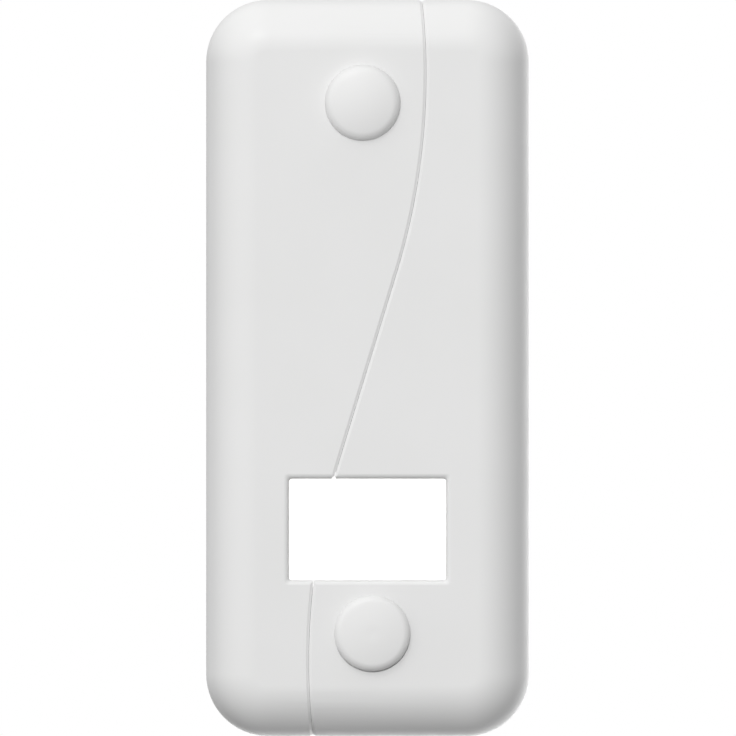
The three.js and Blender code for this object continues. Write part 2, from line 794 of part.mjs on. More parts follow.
function rearHousing() {
  const inner = roundedRectangle(cavityHalf.x, cavityHalf.y, cavityCorner);
  const outer = roundedRectangle(housingHalf.x, housingHalf.y, housingCorner);
  const shell = cut(slab(outer, rearShadow, rim, cornerSteps), [
    slab(inner, floorFront, rim + overcut, cornerSteps),
    slab(inner, rearShadow - overcut, floorBack, cornerSteps),
  ]);
  const standoffs = boardScrews.map(({ x, y }) =>
    rod(x, y, boardScrew.head + 0.6, floorFront - 0.5, boardBack - seatGap),
  );
  // The bracket's hooks catch behind these two ribs.
  const ribs = hooks.map((x) =>
    block(x, cavityHalf.y - hookReach / 2 + 0.1, hookWidth / 2 - 0.5, hookReach / 2 + 0.1, 1, 2.4),
  );
  const screwHoles = coverPosts.map(({ x, y }) =>
    rod(x, y, coverScrew.shank + screwGap, floorBack - overcut, floorFront + overcut, 12),
  );
  const boardScrewHoles = boardScrews.map(({ x, y }) =>
    rod(x, y, boardScrew.shank + screwGap, floorFront - 1, boardBack + overcut, 12),
  );
  const terminalHoles = terminals.map((x) =>
    rod(x, terminalHeight, terminalRadius + 0.2, floorBack - overcut, floorFront + overcut),
  );
  return cut(join([shell, ...standoffs, ...ribs]), [
    ...screwHoles,
    ...boardScrewHoles,
    ...terminalHoles,
    ...speakerSlots(),
    microphoneHole(),
    securityHole(),
  ]);
}

function speakerSlots() {
  const cuts = [];
  for (let i = 0; i < slotCount; i++) {
    const y = speakerMiddle + (i - (slotCount - 1) / 2) * slotPitch;
    cuts.push(block(wall / 2 - housingHalf.x, y, wall, slotWidth / 2, slotBack, slotBack + slotHeight));
  }
  return cuts;
}

// A round hole through the lower wall, along y.
function lowerHole(x, z, radius, reach) {
  const geometry = new THREE.CylinderGeometry(radius, radius, reach, smallSides);
  return toSolid(geometry.translate(x, reach / 2 - housingHalf.y - overcut, z));
}

function microphoneHole() {
  return lowerHole(microphoneX, boardFront + 0.7, soundHole, wall + 2 * overcut);
}

function securityHole() {
  const shank = lowerHole(0, securityHeight, securityScrew.shank + looseGap, wall + 2 * overcut);
  const sink = lowerHole(0, securityHeight, securityScrew.head + 0.2, overcut + securityScrew.rise + 0.1);
  return shank.add(sink);
}

function coverGasket() {
  const inset = sideStep + 0.3;
  const width = wall - sideStep - 0.3;
  const outer = roundedRectangle(halfWidth - inset, halfHeight - inset, cornerRadius - inset);
  const hole = inset + width;
  outer.holes.push(roundedRectangle(halfWidth - hole, halfHeight - hole, cornerRadius - hole));
  return slab(outer, rim + seatGap, parting - seatGap, cornerSteps);
}

function mainBoard() {
  const outline = roundedRectangle(
    boardHalf, (boardTop - boardBottom) / 2, 1.5, 0, (boardTop + boardBottom) / 2,
  );
  const holes = boardScrews.map(({ x, y }) =>
    rod(x, y, boardScrew.shank + screwGap, boardBack - overcut, boardFront + overcut, 12),
  );
  return cut(slab(outline, boardBack, boardFront, 3), holes);
}

function terminalPost() {
  const bore = terminalScrew.shank + screwGap;
  const flangeBack = floorFront + seatGap;
  return turned(
    [
      [bore, floorBack + seatGap],
      [terminalRadius, floorBack + seatGap],
      [terminalRadius, flangeBack],
      [terminalRadius + 0.9, flangeBack],
      [terminalRadius + 0.9, flangeBack + 0.8],
      [terminalRadius, flangeBack + 0.8],
      [terminalRadius, boardBack - seatGap],
      [bore, boardBack - seatGap],
      [bore, floorBack + seatGap],
    ],
    smallSides,
  );
}

// The microphone looks down through a channel in its rubber boot.
function microphoneBoot() {
  const back = boardFront + seatGap;
  const length = boardEndInset - sideStep - wall + 3.2;
  const wallInside = -cavityHalf.y + seatGap;
  const boot = block(microphoneX, wallInside + length / 2, bootHalf, length / 2, back, back + 2.4);
  const channel = new THREE.CylinderGeometry(soundHole, soundHole, length, 10);
  return cut(boot, [
    block(microphoneX, boardBottom + 2, 2.2, 1.8, back - overcut, back + 1.5),
    toSolid(channel.translate(microphoneX, wallInside + length / 2 - 2, back + 0.7)),
  ]);
}

function electronics() {
  const z = boardFront + seatGap;
  const screw = screwGeometry(boardScrew);
  const coilX = coilRadius + partGap - boardHalf;
  const shieldLeft = coilX + coilRadius + partGap;
  const shieldWidth = boardHalf - partGap - shieldLeft;
  const lowest = plate.y + frameOuter.y;
  const highest = boardTop - flexReach - connectorWidth - looseGap;
  const shieldLength = (highest - lowest) / 2;
  const shield = new THREE.BoxGeometry(shieldWidth, shieldLength, shieldHeight);
  const connector = new THREE.BoxGeometry(flexWidth + 2, connectorWidth, 1.4);
  const antenna = new THREE.BoxGeometry(antennaWidth, antennaLength, 0.8);
  const microphone = new THREE.BoxGeometry(3.6, 2.6, 1.1);
  const middle = (lowest + highest) / 2;
  const pair = (coilRadius + capacitorRadius + partGap) / 2;
  return [
    piece("main_board", mainBoard(), circuitBoard),
    piece("processor_shield", shield, shieldTin, shieldLeft + shieldWidth / 2, middle, z + shieldHeight / 2),
    piece("flex_connector", connector, naturalPlastic,
      camera.x + flexX, boardTop - flexReach - looseGap - connectorWidth / 2, z + 0.7),
    piece("wifi_antenna", antenna, circuitBoard,
      boardHalf - partGap - antennaWidth / 2, bell.y + 6, z + 0.4),
    piece("power_coil", rodGeometry(coilRadius, coilHeight), blackPlastic,
      coilX, middle + pair, z + coilHeight / 2),
    piece("storage_capacitor", rodGeometry(capacitorRadius, capacitorHeight), shieldTin,
      coilX, middle - pair, z + capacitorHeight / 2),
    piece("microphone", microphone, shieldTin, microphoneX, boardBottom + 2, z + 0.55),
    piece("microphone_boot", microphoneBoot(), silicone),
    ...boardScrews.map(({ x, y }, i) => {
      const board = piece(`board_screw_${i + 1}`, screw, zincSteel, x, y, z);
      board.rotation.x = Math.PI; // its head is in front of the board
      return board;
    }),
  ];
}

function rodGeometry(radius, height) {
  return new THREE.CylinderGeometry(radius, radius, height, roundSides).rotateX(Math.PI / 2);
}

// The speaker stands on edge inside the left wall and sounds through the slots.
function speaker() {
  const box = (x0, x1, halfY, back, front) =>
    new THREE.BoxGeometry(x1 - x0, 2 * halfY, front - back).translate(
      (x0 + x1) / 2, speakerMiddle, (back + front) / 2,
    );
  const halfY = speakerLength / 2;
  const back = floorFront + seatGap;
  const front = back + speakerHeight;
  const foamX = seatGap - cavityHalf.x;
  const frameX = foamX + foamThickness + seatGap;
  const magnetX = frameX + speakerDepth + seatGap;
  const slotFront = slotBack + slotHeight;
  const foamBlock = toSolid(box(foamX, frameX - seatGap, halfY, back, slotFront + 0.9));
  const foamHole = toSolid(box(foamX - 1, frameX, halfY - 1.5, slotBack + 0.1, slotFront - 0.1));
  const frameBlock = toSolid(box(frameX, magnetX - seatGap, halfY, back, front));
  const mouth = toSolid(box(frameX - 1, frameX + 1.6, halfY - 1.2, back + 1, front - 1));
  return [
    piece("speaker_foam", foamBlock.subtract(foamHole), foam),
    piece("speaker_frame", frameBlock.subtract(mouth), blackPlastic),
    piece("speaker_cone", box(frameX + 0.8, frameX + 1.3, halfY - 1.5, back + 1.3, front - 1.3), coneFilm),
    piece("speaker_magnet", box(magnetX, magnetX + magnetDepth, halfY - 5, back + 1, front - 1), zincSteel),
  ];
}

// --------------------------------------------------------------------------------------- the wall bracket

function wallBracket() {
  const outline = roundedRectangle(bracketHalf.x, bracketHalf.y, cavityCorner - bracketMargin);
  const slotShape = (y) => roundedRectangle(slotAcross / 2, slotAlong / 2, slotAcross / 2, 0, y);
  const hookFoot = bracketHalf.y - 4;
  const notchBottom = cavityHalf.y - hookReach - looseGap;
  const notches = hooks.map((x) =>
    block(x, notchBottom + 5, hookWidth / 2, 5, -overcut, bracketThickness + overcut),
  );
  const tongues = hooks.map((x) =>
    join([
      block(x, (hookFoot + notchBottom) / 2, hookWidth / 2 - 0.5, (notchBottom - hookFoot) / 2, 1, 4.2),
      block(x, (hookFoot + cavityHalf.y - 0.3) / 2, hookWidth / 2 - 0.5,
        (cavityHalf.y - 0.3 - hookFoot) / 2, 2.8, 4.2),
    ]),
  );
  const entry = roundedRectangle(entryWidth / 2, entryHeight / 2, 2, 0, terminalHeight);
  const footY = -bracketHalf.y + footThickness / 2;
  const foot = block(0, footY, footWidth / 2, footThickness / 2, 1, floorBack - looseGap);
  const screwHole = new THREE.CylinderGeometry(
    securityScrew.shank + screwGap, securityScrew.shank + screwGap, 2 * securityScrew.length, smallSides,
  ).translate(0, -bracketHalf.y + 1, securityHeight);
  const body = slab(outline, 0, bracketThickness, 8);
  return join([cut(body, notches), ...tongues, foot]).subtract(
    join([
      slab(slotShape(slotDistance), -overcut, bracketThickness + overcut, 5),
      slab(slotShape(-slotDistance), -overcut, bracketThickness + overcut, 5),
      slab(entry, -overcut, bracketThickness + overcut, 4),
      toSolid(screwHole),
    ]),
  );
}

// -------------------------------------------------------------------------------------------- fasteners

function fasteners() {
  const coverScrewShape = screwGeometry(coverScrew);
  const terminalScrewShape = screwGeometry(terminalScrew);
  const security = piece("security_screw", screwGeometry(securityScrew), zincSteel);
  security.position.set(0, securityScrew.rise - housingHalf.y, securityHeight);
  security.rotation.x = -Math.PI / 2; // up through the lower wall
  return [
    ...coverPosts.map(({ x, y }, i) =>
      piece(`cover_screw_${i + 1}`, coverScrewShape, zincSteel, x, y, floorBack - seatGap),
    ),
    ...terminals.map((x, i) =>
      piece(`terminal_screw_${i + 1}`, terminalScrewShape, brass, x, terminalHeight, floorBack - seatGap),
    ),
    ...terminals.map((x, i) =>
      piece(`terminal_post_${i + 1}`, terminalPost(), brass, x, terminalHeight),
    ),
    security,
  ];
}

// ---------------------------------------------------------------------------------------- the whole thing

const doorbell = new THREE.Group();
doorbell.add(
  piece("left_front_cover", leftFrontCover(), whitePlastic),
  piece("right_front_cover", rightFrontCover(), whitePlastic),
  cameraModule(),
  namePlate(),
  bellPush(),
  piece("cover_gasket", coverGasket(), silicone),
  ...electronics(),
  ...speaker(),
  piece("rear_housing", rearHousing(), housingPlastic),
  piece("wall_bracket", wallBracket(), housingPlastic),
  ...fasteners(),
);
doorbell.rotation.x = Math.PI / 2;

export default doorbell;
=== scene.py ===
# %% [markdown]
# # A wall-mounted video doorbell
#
# The doorbell is a white plastic shell about as tall as a hand. Two front covers meet on an S-shaped seam.
# Near the top sits a round privacy cap over the camera, and below it are a lit name window and a round
# bell push. Behind the covers are the circuit board, the speaker and the rear housing, which hangs on a
# wall bracket.
#
# The solids of the design are loaded first and stay where they are. What follows rebuilds the surfaces
# that show, each in the place that the design gives it, and gives every piece a finish.

# %% Load the frame
import math
from contextlib import contextmanager

import bmesh
import bpy
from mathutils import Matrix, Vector


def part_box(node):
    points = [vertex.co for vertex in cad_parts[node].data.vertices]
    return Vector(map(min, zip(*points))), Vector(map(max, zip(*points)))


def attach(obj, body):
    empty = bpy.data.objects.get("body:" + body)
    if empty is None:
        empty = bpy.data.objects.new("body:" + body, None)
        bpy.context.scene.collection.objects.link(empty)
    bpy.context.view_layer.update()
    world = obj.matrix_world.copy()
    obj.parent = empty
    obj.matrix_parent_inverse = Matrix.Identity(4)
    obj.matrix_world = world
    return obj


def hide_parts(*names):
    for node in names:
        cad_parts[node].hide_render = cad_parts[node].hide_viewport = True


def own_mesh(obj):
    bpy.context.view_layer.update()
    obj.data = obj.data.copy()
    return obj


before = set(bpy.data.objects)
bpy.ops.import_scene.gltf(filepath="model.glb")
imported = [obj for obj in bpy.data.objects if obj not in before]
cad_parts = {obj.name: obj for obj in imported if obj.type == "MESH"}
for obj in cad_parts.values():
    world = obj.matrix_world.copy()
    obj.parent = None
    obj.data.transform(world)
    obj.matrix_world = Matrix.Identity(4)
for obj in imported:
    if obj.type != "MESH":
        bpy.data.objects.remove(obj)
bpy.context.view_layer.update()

# %% [markdown]
# ## Units and places
#
# Blender works in metres and a doorbell is easier to think about in millimetres, so lengths are written in
# millimetres and turned into metres in one place. The wall is the plane y = 0 and the face looks to -y, so
# "out" below means the distance out of the wall. Places come from the boxes of the loaded solids.

# %% Places from the design
MM = 0.001


def place(x, out, up):
    """A point given in millimetres: to the right, out of the wall, and up."""
    return Vector((x, -out, up)) * MM


def span(node):
    """The two corners of a solid's box, in millimetres, as (x, out, up) with the smaller out first."""
    low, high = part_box(node)
    return (
        Vector((low.x, -high.y, low.z)) / MM,
        Vector((high.x, -low.y, high.z)) / MM,
    )


def centre(node):
    low, high = span(node)
    return (low + high) / 2


half_width = span("right_front_cover")[1].x
half_height = span("right_front_cover")[1].z
parting, face = span("cover_gasket")[1].y + 0.1, span("right_front_cover")[1].y
wall = 2
inside = face - wall
camera_at = centre("camera_cap")
bell_at = centre("bell_button")
window_at = centre("name_window")
print("half width, half height, parting, face:", half_width, half_height, parting, face)

# %% [markdown]
# ## Camera
#
# A product shot from straight ahead, with a long lens so that the sides of the body stay out of sight.
# The distance follows from the lens: the body just fills the height of the frame where it is widest,
# behind its round-over.

# %% Camera
scene = bpy.context.scene
lens, sensor = 1000, 36
widest = parting + 1
distance = lens / sensor * 2 * half_height
camera_data = bpy.data.cameras.new("front_camera")
camera_data.lens = lens
camera_data.sensor_width = sensor
camera_data.clip_end = 40
front_camera = bpy.data.objects.new("front_camera", camera_data)
scene.collection.objects.link(front_camera)
front_camera.location = place(0.09, widest + distance, 0)
front_camera.rotation_euler = (math.pi / 2, 0, 0)
scene.camera = front_camera
print("camera distance, mm:", round(distance))

# %% [markdown]
# ## Light
#
# White plastic on a white ground needs its light from one side, or its edges vanish. Most of the light
# comes from a soft lamp in front, a little above the doorbell, so the face darkens slightly downwards.
# The surroundings add the modelling: they are brightest above and to the left and fade to the right and
# below. Two glows from behind light the very rim of the body, a broad one and a stronger one from low on
# the right. Two faint ones, overhead and below, lift the top and bottom edges. The visible background is
# plain white.

# %% Surroundings
scene.view_settings.view_transform = "Standard"
world = bpy.data.worlds.new("studio")
scene.world = world
world.use_nodes = True
sky = world.node_tree.nodes
sky_links = world.node_tree.links
sky.clear()
direction = sky.new("ShaderNodeTexCoord").outputs["Generated"]


def glow(toward, start, end, strength):
    """Light that rises from none to its strength as a direction turns toward the given one."""
    along = sky.new("ShaderNodeVectorMath")
    along.operation = "DOT_PRODUCT"
    along.inputs[1].default_value = Vector(toward).normalized()
    sky_links.new(direction, along.inputs[0])
    rise = sky.new("ShaderNodeMapRange")
    rise.inputs["From Min"].default_value = start
    rise.inputs["From Max"].default_value = end
    rise.inputs["To Max"].default_value = strength
    sky_links.new(along.outputs["Value"], rise.inputs["Value"])
    return rise.outputs["Result"]


def plus(first, second):
    total = sky.new("ShaderNodeMath")
    sky_links.new(first, total.inputs[0])
    sky_links.new(second, total.inputs[1])
    return total.outputs[0]


studio_light = sky.new("ShaderNodeBackground")
soft_side = glow((-0.50, -0.36, 0.74), -0.3, 1, 0.93)
behind = glow((0.1, 1, 0.3), 0.35, 0.6, 0.82)
rim_side = glow((0.42, 0.83, -0.36), 0.72, 0.96, 2.15)
overhead = glow((0, 0.15, 0.99), 0.8, 0.97, 0.22)
below = glow((0, 0.35, -0.94), 0.8, 0.97, 0.6)
around = plus(plus(soft_side, behind), plus(rim_side, overhead))
sky_links.new(plus(around, below), studio_light.inputs["Strength"])
white_ground = sky.new("ShaderNodeBackground")
white_ground.inputs["Color"].default_value = (1, 1, 1, 1)
ray = sky.new("ShaderNodeLightPath")
either = sky.new("ShaderNodeMixShader")
result = sky.new("ShaderNodeOutputWorld")
sky_links.new(ray.outputs["Is Camera Ray"], either.inputs["Fac"])
sky_links.new(studio_light.outputs[0], either.inputs[1])
sky_links.new(white_ground.outputs[0], either.inputs[2])
sky_links.new(either.outputs[0], result.inputs["Surface"])
print("surroundings ready")


# %% Lamps
def soft_lamp(name, at, aim, size, power):
    lamp_data = bpy.data.lights.new(name, "AREA")
    lamp_data.shape = "DISK"
    lamp_data.size = size
    lamp_data.energy = power
    lamp = bpy.data.objects.new(name, lamp_data)
    scene.collection.objects.link(lamp)
    lamp.visible_camera = False
    lamp.location = at
    lamp.rotation_euler = (Vector(aim) - Vector(at)).to_track_quat("-Z", "Y").to_euler()
    return lamp


front_lamp = soft_lamp("front_lamp", (-0.05, -1.48, 0.28), (0, 0, 0.01), 0.3, 12.2)
front_lamp.visible_glossy = False
soft_lamp("top_lamp", (-0.25, -0.85, 0.72), (0, 0, 0), 0.25, 1.0)
rear_lamp = soft_lamp("rear_lamp", (0.5, 0.78, 0.38), (0, 0, 0), 0.25, 0.8)
rear_lamp.visible_glossy = False

# %% [markdown]
# ## Floor
#
# The doorbell hangs on a wall, so the floor is well below it, out of the front camera's view. It is one
# plain pale plane. Its bounce light is turned off, because a real floor would be a metre further down.

# %% Floor
bpy.ops.object.select_all(action="DESELECT")
floor_size, floor_height = 1.8, -0.17
bpy.ops.mesh.primitive_plane_add(size=floor_size, location=(0, 0, floor_height))
studio_floor = bpy.context.object
studio_floor.name = "studio_floor"
bpy.ops.object.transform_apply(location=True, rotation=True, scale=True)
studio_floor.visible_diffuse = False
studio_floor.visible_glossy = False
floor_material = bpy.data.materials.new("pale_floor")
floor_material.use_nodes = True
floor_material.node_tree.nodes["Principled BSDF"].inputs["Base Color"].default_value = (0.85, 0.85, 0.84, 1)
floor_material.node_tree.nodes["Principled BSDF"].inputs["Roughness"].default_value = 0.9
studio_floor.data.materials.append(floor_material)
print("floor at", round(studio_floor.data.vertices[0].co.z, 3), "m")

# %% [markdown]
# ## Working by hand, in code
#
# Everything is modelled with the tools a person would use: add a primitive, go into edit mode, pick edges
# or faces, and bevel, inset, extrude or spin them. The few helpers below pick a piece, pick its edges or
# faces by their place, and apply modifiers, so that the cells that follow can be short.


# %% Picking and shaping helpers
def pick(piece):
    if bpy.context.object and bpy.context.object.mode != "OBJECT":
        bpy.ops.object.mode_set(mode="OBJECT")
    bpy.ops.object.select_all(action="DESELECT")
    piece.select_set(True)
    bpy.context.view_layer.objects.active = piece


@contextmanager
def editing(piece, kind="EDGE"):
    pick(piece)
    bpy.ops.object.mode_set(mode="EDIT")
    bpy.ops.mesh.select_mode(type=kind)
    bpy.ops.mesh.select_all(action="DESELECT")
    yield
    bpy.ops.object.mode_set(mode="OBJECT")


def select(piece, kind, test):
    """In edit mode, selects the verts, edges or faces that pass a test, and says how many there were."""
    bpy.ops.mesh.select_all(action="DESELECT")
    shape = bmesh.from_edit_mesh(piece.data)
    found = [part for part in getattr(shape, kind) if test(part)]
    for part in found:
        part.select_set(True)
    bmesh.update_edit_mesh(piece.data)
    return len(found)


def finish_with(piece, kind, **settings):
    """Adds a modifier, sets it and applies it."""
    pick(piece)
    modifier = piece.modifiers.new(kind.title(), kind)
    for name, value in settings.items():
        setattr(modifier, name, value)
    bpy.ops.object.modifier_apply(modifier=modifier.name)
    return piece


def settle():
    """Moves the picked object's place, turn and size into its mesh."""
    bpy.ops.object.transform_apply(location=True, rotation=True, scale=True)


def combine(piece, other, operation="DIFFERENCE"):
    """Cuts a piece with another, joins them, or keeps what they share. The other is used up."""
    finish_with(piece, "BOOLEAN", operation=operation, object=other, solver="EXACT")
    bpy.data.objects.remove(other)
    return piece


def smooth(piece, angle=35):
    """Smooth shading with crisp edges, and flat faces that stay flat."""
    pick(piece)
    bpy.ops.object.shade_smooth_by_angle(angle=math.radians(angle))
    finish_with(piece, "WEIGHTED_NORMAL", keep_sharp=True, weight=60)
    return piece


def edges_of(piece):
    return len(piece.data.edges)


# %% Block, rod and turned-shape helpers
def along(edge, axis):
    a, b = (vert.co for vert in edge.verts)
    return abs((b - a).normalized()[axis]) > 0.999


def at_out(part, out):
    """Whether all of an edge or face lies at one distance out of the wall."""
    return all(abs(vert.co.y + out * MM) < 1e-6 for vert in part.verts)


def block(name, low, high, corner=0, segments=6):
    """A block between two corners (x, out, up), with the corners that are seen from the front rounded."""
    a, b = place(*low), place(*high)
    bpy.ops.object.select_all(action="DESELECT")
    bpy.ops.mesh.primitive_cube_add(size=1, location=(a + b) / 2)
    piece = bpy.context.object
    piece.name = name
    piece.scale = [abs(v) for v in b - a]
    settle()
    if corner:
        with editing(piece):
            select(piece, "edges", lambda edge: along(edge, 1))
            bpy.ops.mesh.bevel(offset=corner * MM, segments=segments, profile=0.5, affect="EDGES")
    return piece


def rod(name, x, up, radius, back, front, sides=64):
    """A round bar that points out of the wall."""
    bpy.ops.object.select_all(action="DESELECT")
    bpy.ops.mesh.primitive_cylinder_add(
        vertices=sides, radius=radius * MM, depth=(front - back) * MM,
        location=place(x, (front + back) / 2, up), rotation=(math.pi / 2, 0, 0),
    )
    piece = bpy.context.object
    piece.name = name
    settle()
    return piece


def turned(name, profile, x, up, steps=96):
    """A shape turned on an axis that points out of the wall. The profile is a list of (radius, out) points:
    one vertex is placed at the first, extruded from point to point, and the line is spun round."""
    bpy.ops.object.select_all(action="DESELECT")
    bpy.ops.mesh.primitive_plane_add(size=MM, location=place(x + profile[0][0], profile[0][1], up))
    piece = bpy.context.object
    piece.name = name
    settle()
    with editing(piece, "VERT"):
        bpy.ops.mesh.select_all(action="SELECT")
        bpy.ops.mesh.merge(type="CENTER")
        for (r0, out0), (r1, out1) in zip(profile, profile[1:]):
            move = Vector((r1 - r0, out0 - out1, 0)) * MM
            bpy.ops.mesh.extrude_region_move(TRANSFORM_OT_translate={"value": move})
        bpy.ops.mesh.select_all(action="SELECT")
        bpy.ops.mesh.spin(steps=steps, angle=2 * math.pi, center=place(x, 0, up), axis=(0, 1, 0))
        bpy.ops.mesh.select_all(action="SELECT")
        bpy.ops.mesh.remove_doubles(threshold=0.002 * MM)
        bpy.ops.mesh.normals_make_consistent(inside=False)
    return piece


def arc(cx, cout, radius, start, end, steps):
    """Points of (radius, out) on a rounded edge, from one angle to another in degrees."""
    points = []
    for i in range(steps + 1):
        angle = math.radians(start + (end - start) * i / steps)
        points.append((cx + radius * math.cos(angle), cout + radius * math.sin(angle)))
    return points


print("helpers ready")

# %% [markdown]
# ## Finishes
#
# Moulded plastic looks flat when it has one colour and one roughness. Real mouldings carry the fine
# texture of the mould, a slightly uneven gloss, and a trace of colour change where the wall is thick. Each
# finish below is a function of the piece's own Object coordinates, so the pattern stays on the piece.
# Noise gives the mould texture through a Bump node, and a larger, softer noise varies colour and gloss.


# %% A helper that starts a finish
def new_finish(name):
    finish = bpy.data.materials.new(name)
    finish.use_nodes = True
    nodes = finish.node_tree.nodes
    shader = nodes["Principled BSDF"]
    where = nodes.new("ShaderNodeTexCoord")
    return finish, nodes, finish.node_tree.links, shader, where.outputs["Object"]


def noise(nodes, links, where, size, detail=2.0):
    """Noise whose features are about size millimetres across."""
    texture = nodes.new("ShaderNodeTexNoise")
    texture.inputs["Scale"].default_value = 1 / (size * MM)
    texture.inputs["Detail"].default_value = detail
    links.new(where, texture.inputs["Vector"])
    return texture.outputs["Fac"]


def spread(nodes, links, value, low, high, start=0.3, end=0.7):
    """Turns a value between start and end into one between low and high."""
    mapped = nodes.new("ShaderNodeMapRange")
    mapped.inputs["From Min"].default_value = start
    mapped.inputs["From Max"].default_value = end
    mapped.inputs["To Min"].default_value = low
    mapped.inputs["To Max"].default_value = high
    links.new(value, mapped.inputs["Value"])
    return mapped.outputs["Result"]


def two_colours(nodes, links, value, first, second):
    mix = nodes.new("ShaderNodeMix")
    mix.data_type = "RGBA"
    mix.inputs["A"].default_value = (*first, 1)
    mix.inputs["B"].default_value = (*second, 1)
    links.new(value, mix.inputs["Factor"])
    return mix.outputs["Result"]


def add_bump(nodes, links, shader, height, depth, strength=1.0):
    """A bump of the given depth in millimetres."""
    bump = nodes.new("ShaderNodeBump")
    bump.inputs["Strength"].default_value = strength
    bump.inputs["Distance"].default_value = depth * MM
    links.new(height, bump.inputs["Height"])
    links.new(bump.outputs["Normal"], shader.inputs["Normal"])
    return bump


# %% Moulded plastics, silicone and foam
def moulded(name, colour, second, roughness, grain, depth, patch=18.0):
    """Plastic with a mould texture: grain is its size and depth its height, both in millimetres."""
    finish, nodes, links, shader, where = new_finish(name)
    patches = noise(nodes, links, where, patch, 3)
    links.new(two_colours(nodes, links, spread(nodes, links, patches, 0, 1), colour, second),
              shader.inputs["Base Color"])
    gloss = noise(nodes, links, where, patch / 4, 2)
    links.new(spread(nodes, links, gloss, roughness - 0.02, roughness + 0.02), shader.inputs["Roughness"])
    add_bump(nodes, links, shader, noise(nodes, links, where, grain, 3), depth)
    shader.inputs["IOR"].default_value = 1.5
    return finish


cover_white = moulded("cover_white", (0.83, 0.83, 0.828), (0.815, 0.816, 0.812), 0.35, 0.35, 0.0016)
button_white = moulded("button_white", (0.835, 0.835, 0.832), (0.83, 0.83, 0.826), 0.33, 0.25, 0.0004, 16)
housing_white = moulded("housing_white", (0.77, 0.77, 0.76), (0.75, 0.75, 0.74), 0.5, 0.3, 0.006)
frame_white = moulded("frame_white", (0.82, 0.82, 0.81), (0.79, 0.79, 0.78), 0.5, 0.5, 0.006)
satin_black = moulded("satin_black", (0.012, 0.012, 0.013), (0.02, 0.02, 0.021), 0.4, 0.25, 0.004)
natural_acetal = moulded("natural_acetal", (0.72, 0.71, 0.66), (0.68, 0.67, 0.62), 0.42, 0.5, 0.003)
grey_silicone = moulded("grey_silicone", (0.11, 0.115, 0.12), (0.14, 0.145, 0.15), 0.62, 0.15, 0.008)
black_foam = moulded("black_foam", (0.012, 0.012, 0.013), (0.035, 0.035, 0.037), 0.95, 0.35, 0.12, 2)
cone_black = moulded("cone_black", (0.03, 0.032, 0.036), (0.045, 0.047, 0.05), 0.5, 0.8, 0.02)
white_resin = moulded("white_resin", (0.86, 0.83, 0.62), (0.9, 0.88, 0.74), 0.35, 0.2, 0.004, 1.2)
print("plastics:", cover_white.name, button_white.name, satin_black.name)

# %% [markdown]
# ### Clear pieces
#
# The window is polished acrylic. Clear plastic is never perfectly even, so its gloss varies a little and
# its surface has a very slight waviness. The lens and its cover glass carry the faint violet and green
# of their coatings, which Blender's thin film gives. The card behind the window has a painted glow, its
# own emission, standing in for the lamps behind it; the glow varies a little at random across it.


# %% Clear pieces and the card with a painted glow
def clear(name, tint, roughness, ior, waviness, film=0):
    finish, nodes, links, shader, where = new_finish(name)
    links.new(two_colours(nodes, links, noise(nodes, links, where, 6), tint, [0.985 * c for c in tint]),
              shader.inputs["Base Color"])
    smear = noise(nodes, links, where, 2.5, 4)
    links.new(spread(nodes, links, smear, roughness, roughness + 0.02), shader.inputs["Roughness"])
    add_bump(nodes, links, shader, noise(nodes, links, where, 4), waviness)
    shader.inputs["IOR"].default_value = ior
    shader.inputs["Transmission Weight"].default_value = 1
    if film:
        shader.inputs["Thin Film Thickness"].default_value = film
        shader.inputs["Thin Film IOR"].default_value = 1.38
    return finish


clear_acrylic = clear("clear_acrylic", (1, 1, 1), 0.015, 1.49, 0.0008)
guide_acrylic = clear("guide_acrylic", (0.97, 0.98, 0.98), 0.12, 1.49, 0.02)
coated_glass = clear("coated_glass", (0.93, 0.96, 0.98), 0.005, 1.52, 0.0002, 380)
lens_glass = clear("lens_glass", (0.62, 0.72, 0.86), 0.004, 1.7, 0.0002, 460)

# The card is given its own emission: a painted glow that stands in for the light of the LEDs behind it, which
# give none in this scene.
painted_glow_card, nodes, links, shader, where = new_finish("painted_glow_card")
fibres = noise(nodes, links, where, 0.4, 4)
links.new(two_colours(nodes, links, fibres, (0.93, 0.93, 0.92), (0.97, 0.97, 0.965)),
          shader.inputs["Base Color"])
links.new(spread(nodes, links, fibres, 0.7, 0.85), shader.inputs["Roughness"])
add_bump(nodes, links, shader, fibres, 0.01)
shader.inputs["Emission Color"].default_value = (1, 0.995, 0.985, 1)
links.new(spread(nodes, links, noise(nodes, links, where, 30), 0.95, 1.05), shader.inputs["Emission Strength"])
print("clear pieces:", clear_acrylic.name, coated_glass.name, painted_glow_card.name)

# %% [markdown]
# ### Metals and circuit boards
#
# Plated screws have a fine, streaky lustre. Springs and clips are darker, with drawing marks. Brass is
# warmer and a little tarnished. A circuit board is green lacquer over copper tracks: a square-celled
# Voronoi pattern stands in for tracks and pads, seen as slightly lighter, slightly raised lines.


# %% Metals and boards
def metal(name, colour, second, roughness, grain, depth):
    finish, nodes, links, shader, where = new_finish(name)
    streak = nodes.new("ShaderNodeMapping")
    streak.inputs["Scale"].default_value = (1, 0.25, 1)
    links.new(where, streak.inputs["Vector"])
    marks = noise(nodes, links, streak.outputs["Vector"], grain, 4)
    links.new(two_colours(nodes, links, spread(nodes, links, marks, 0, 1), colour, second),
              shader.inputs["Base Color"])
    links.new(spread(nodes, links, marks, roughness - 0.08, roughness + 0.1), shader.inputs["Roughness"])
    add_bump(nodes, links, shader, marks, depth)
    shader.inputs["Metallic"].default_value = 1
    return finish


zinc_plate = metal("zinc_plate", (0.62, 0.64, 0.66), (0.52, 0.54, 0.57), 0.28, 0.5, 0.004)
spring_wire = metal("spring_wire", (0.5, 0.5, 0.51), (0.38, 0.38, 0.4), 0.25, 0.2, 0.003)
turned_brass = metal("turned_brass", (0.72, 0.55, 0.27), (0.6, 0.43, 0.2), 0.3, 0.4, 0.004)
tinned_sheet = metal("tinned_sheet", (0.68, 0.69, 0.7), (0.6, 0.61, 0.62), 0.35, 1.5, 0.006)


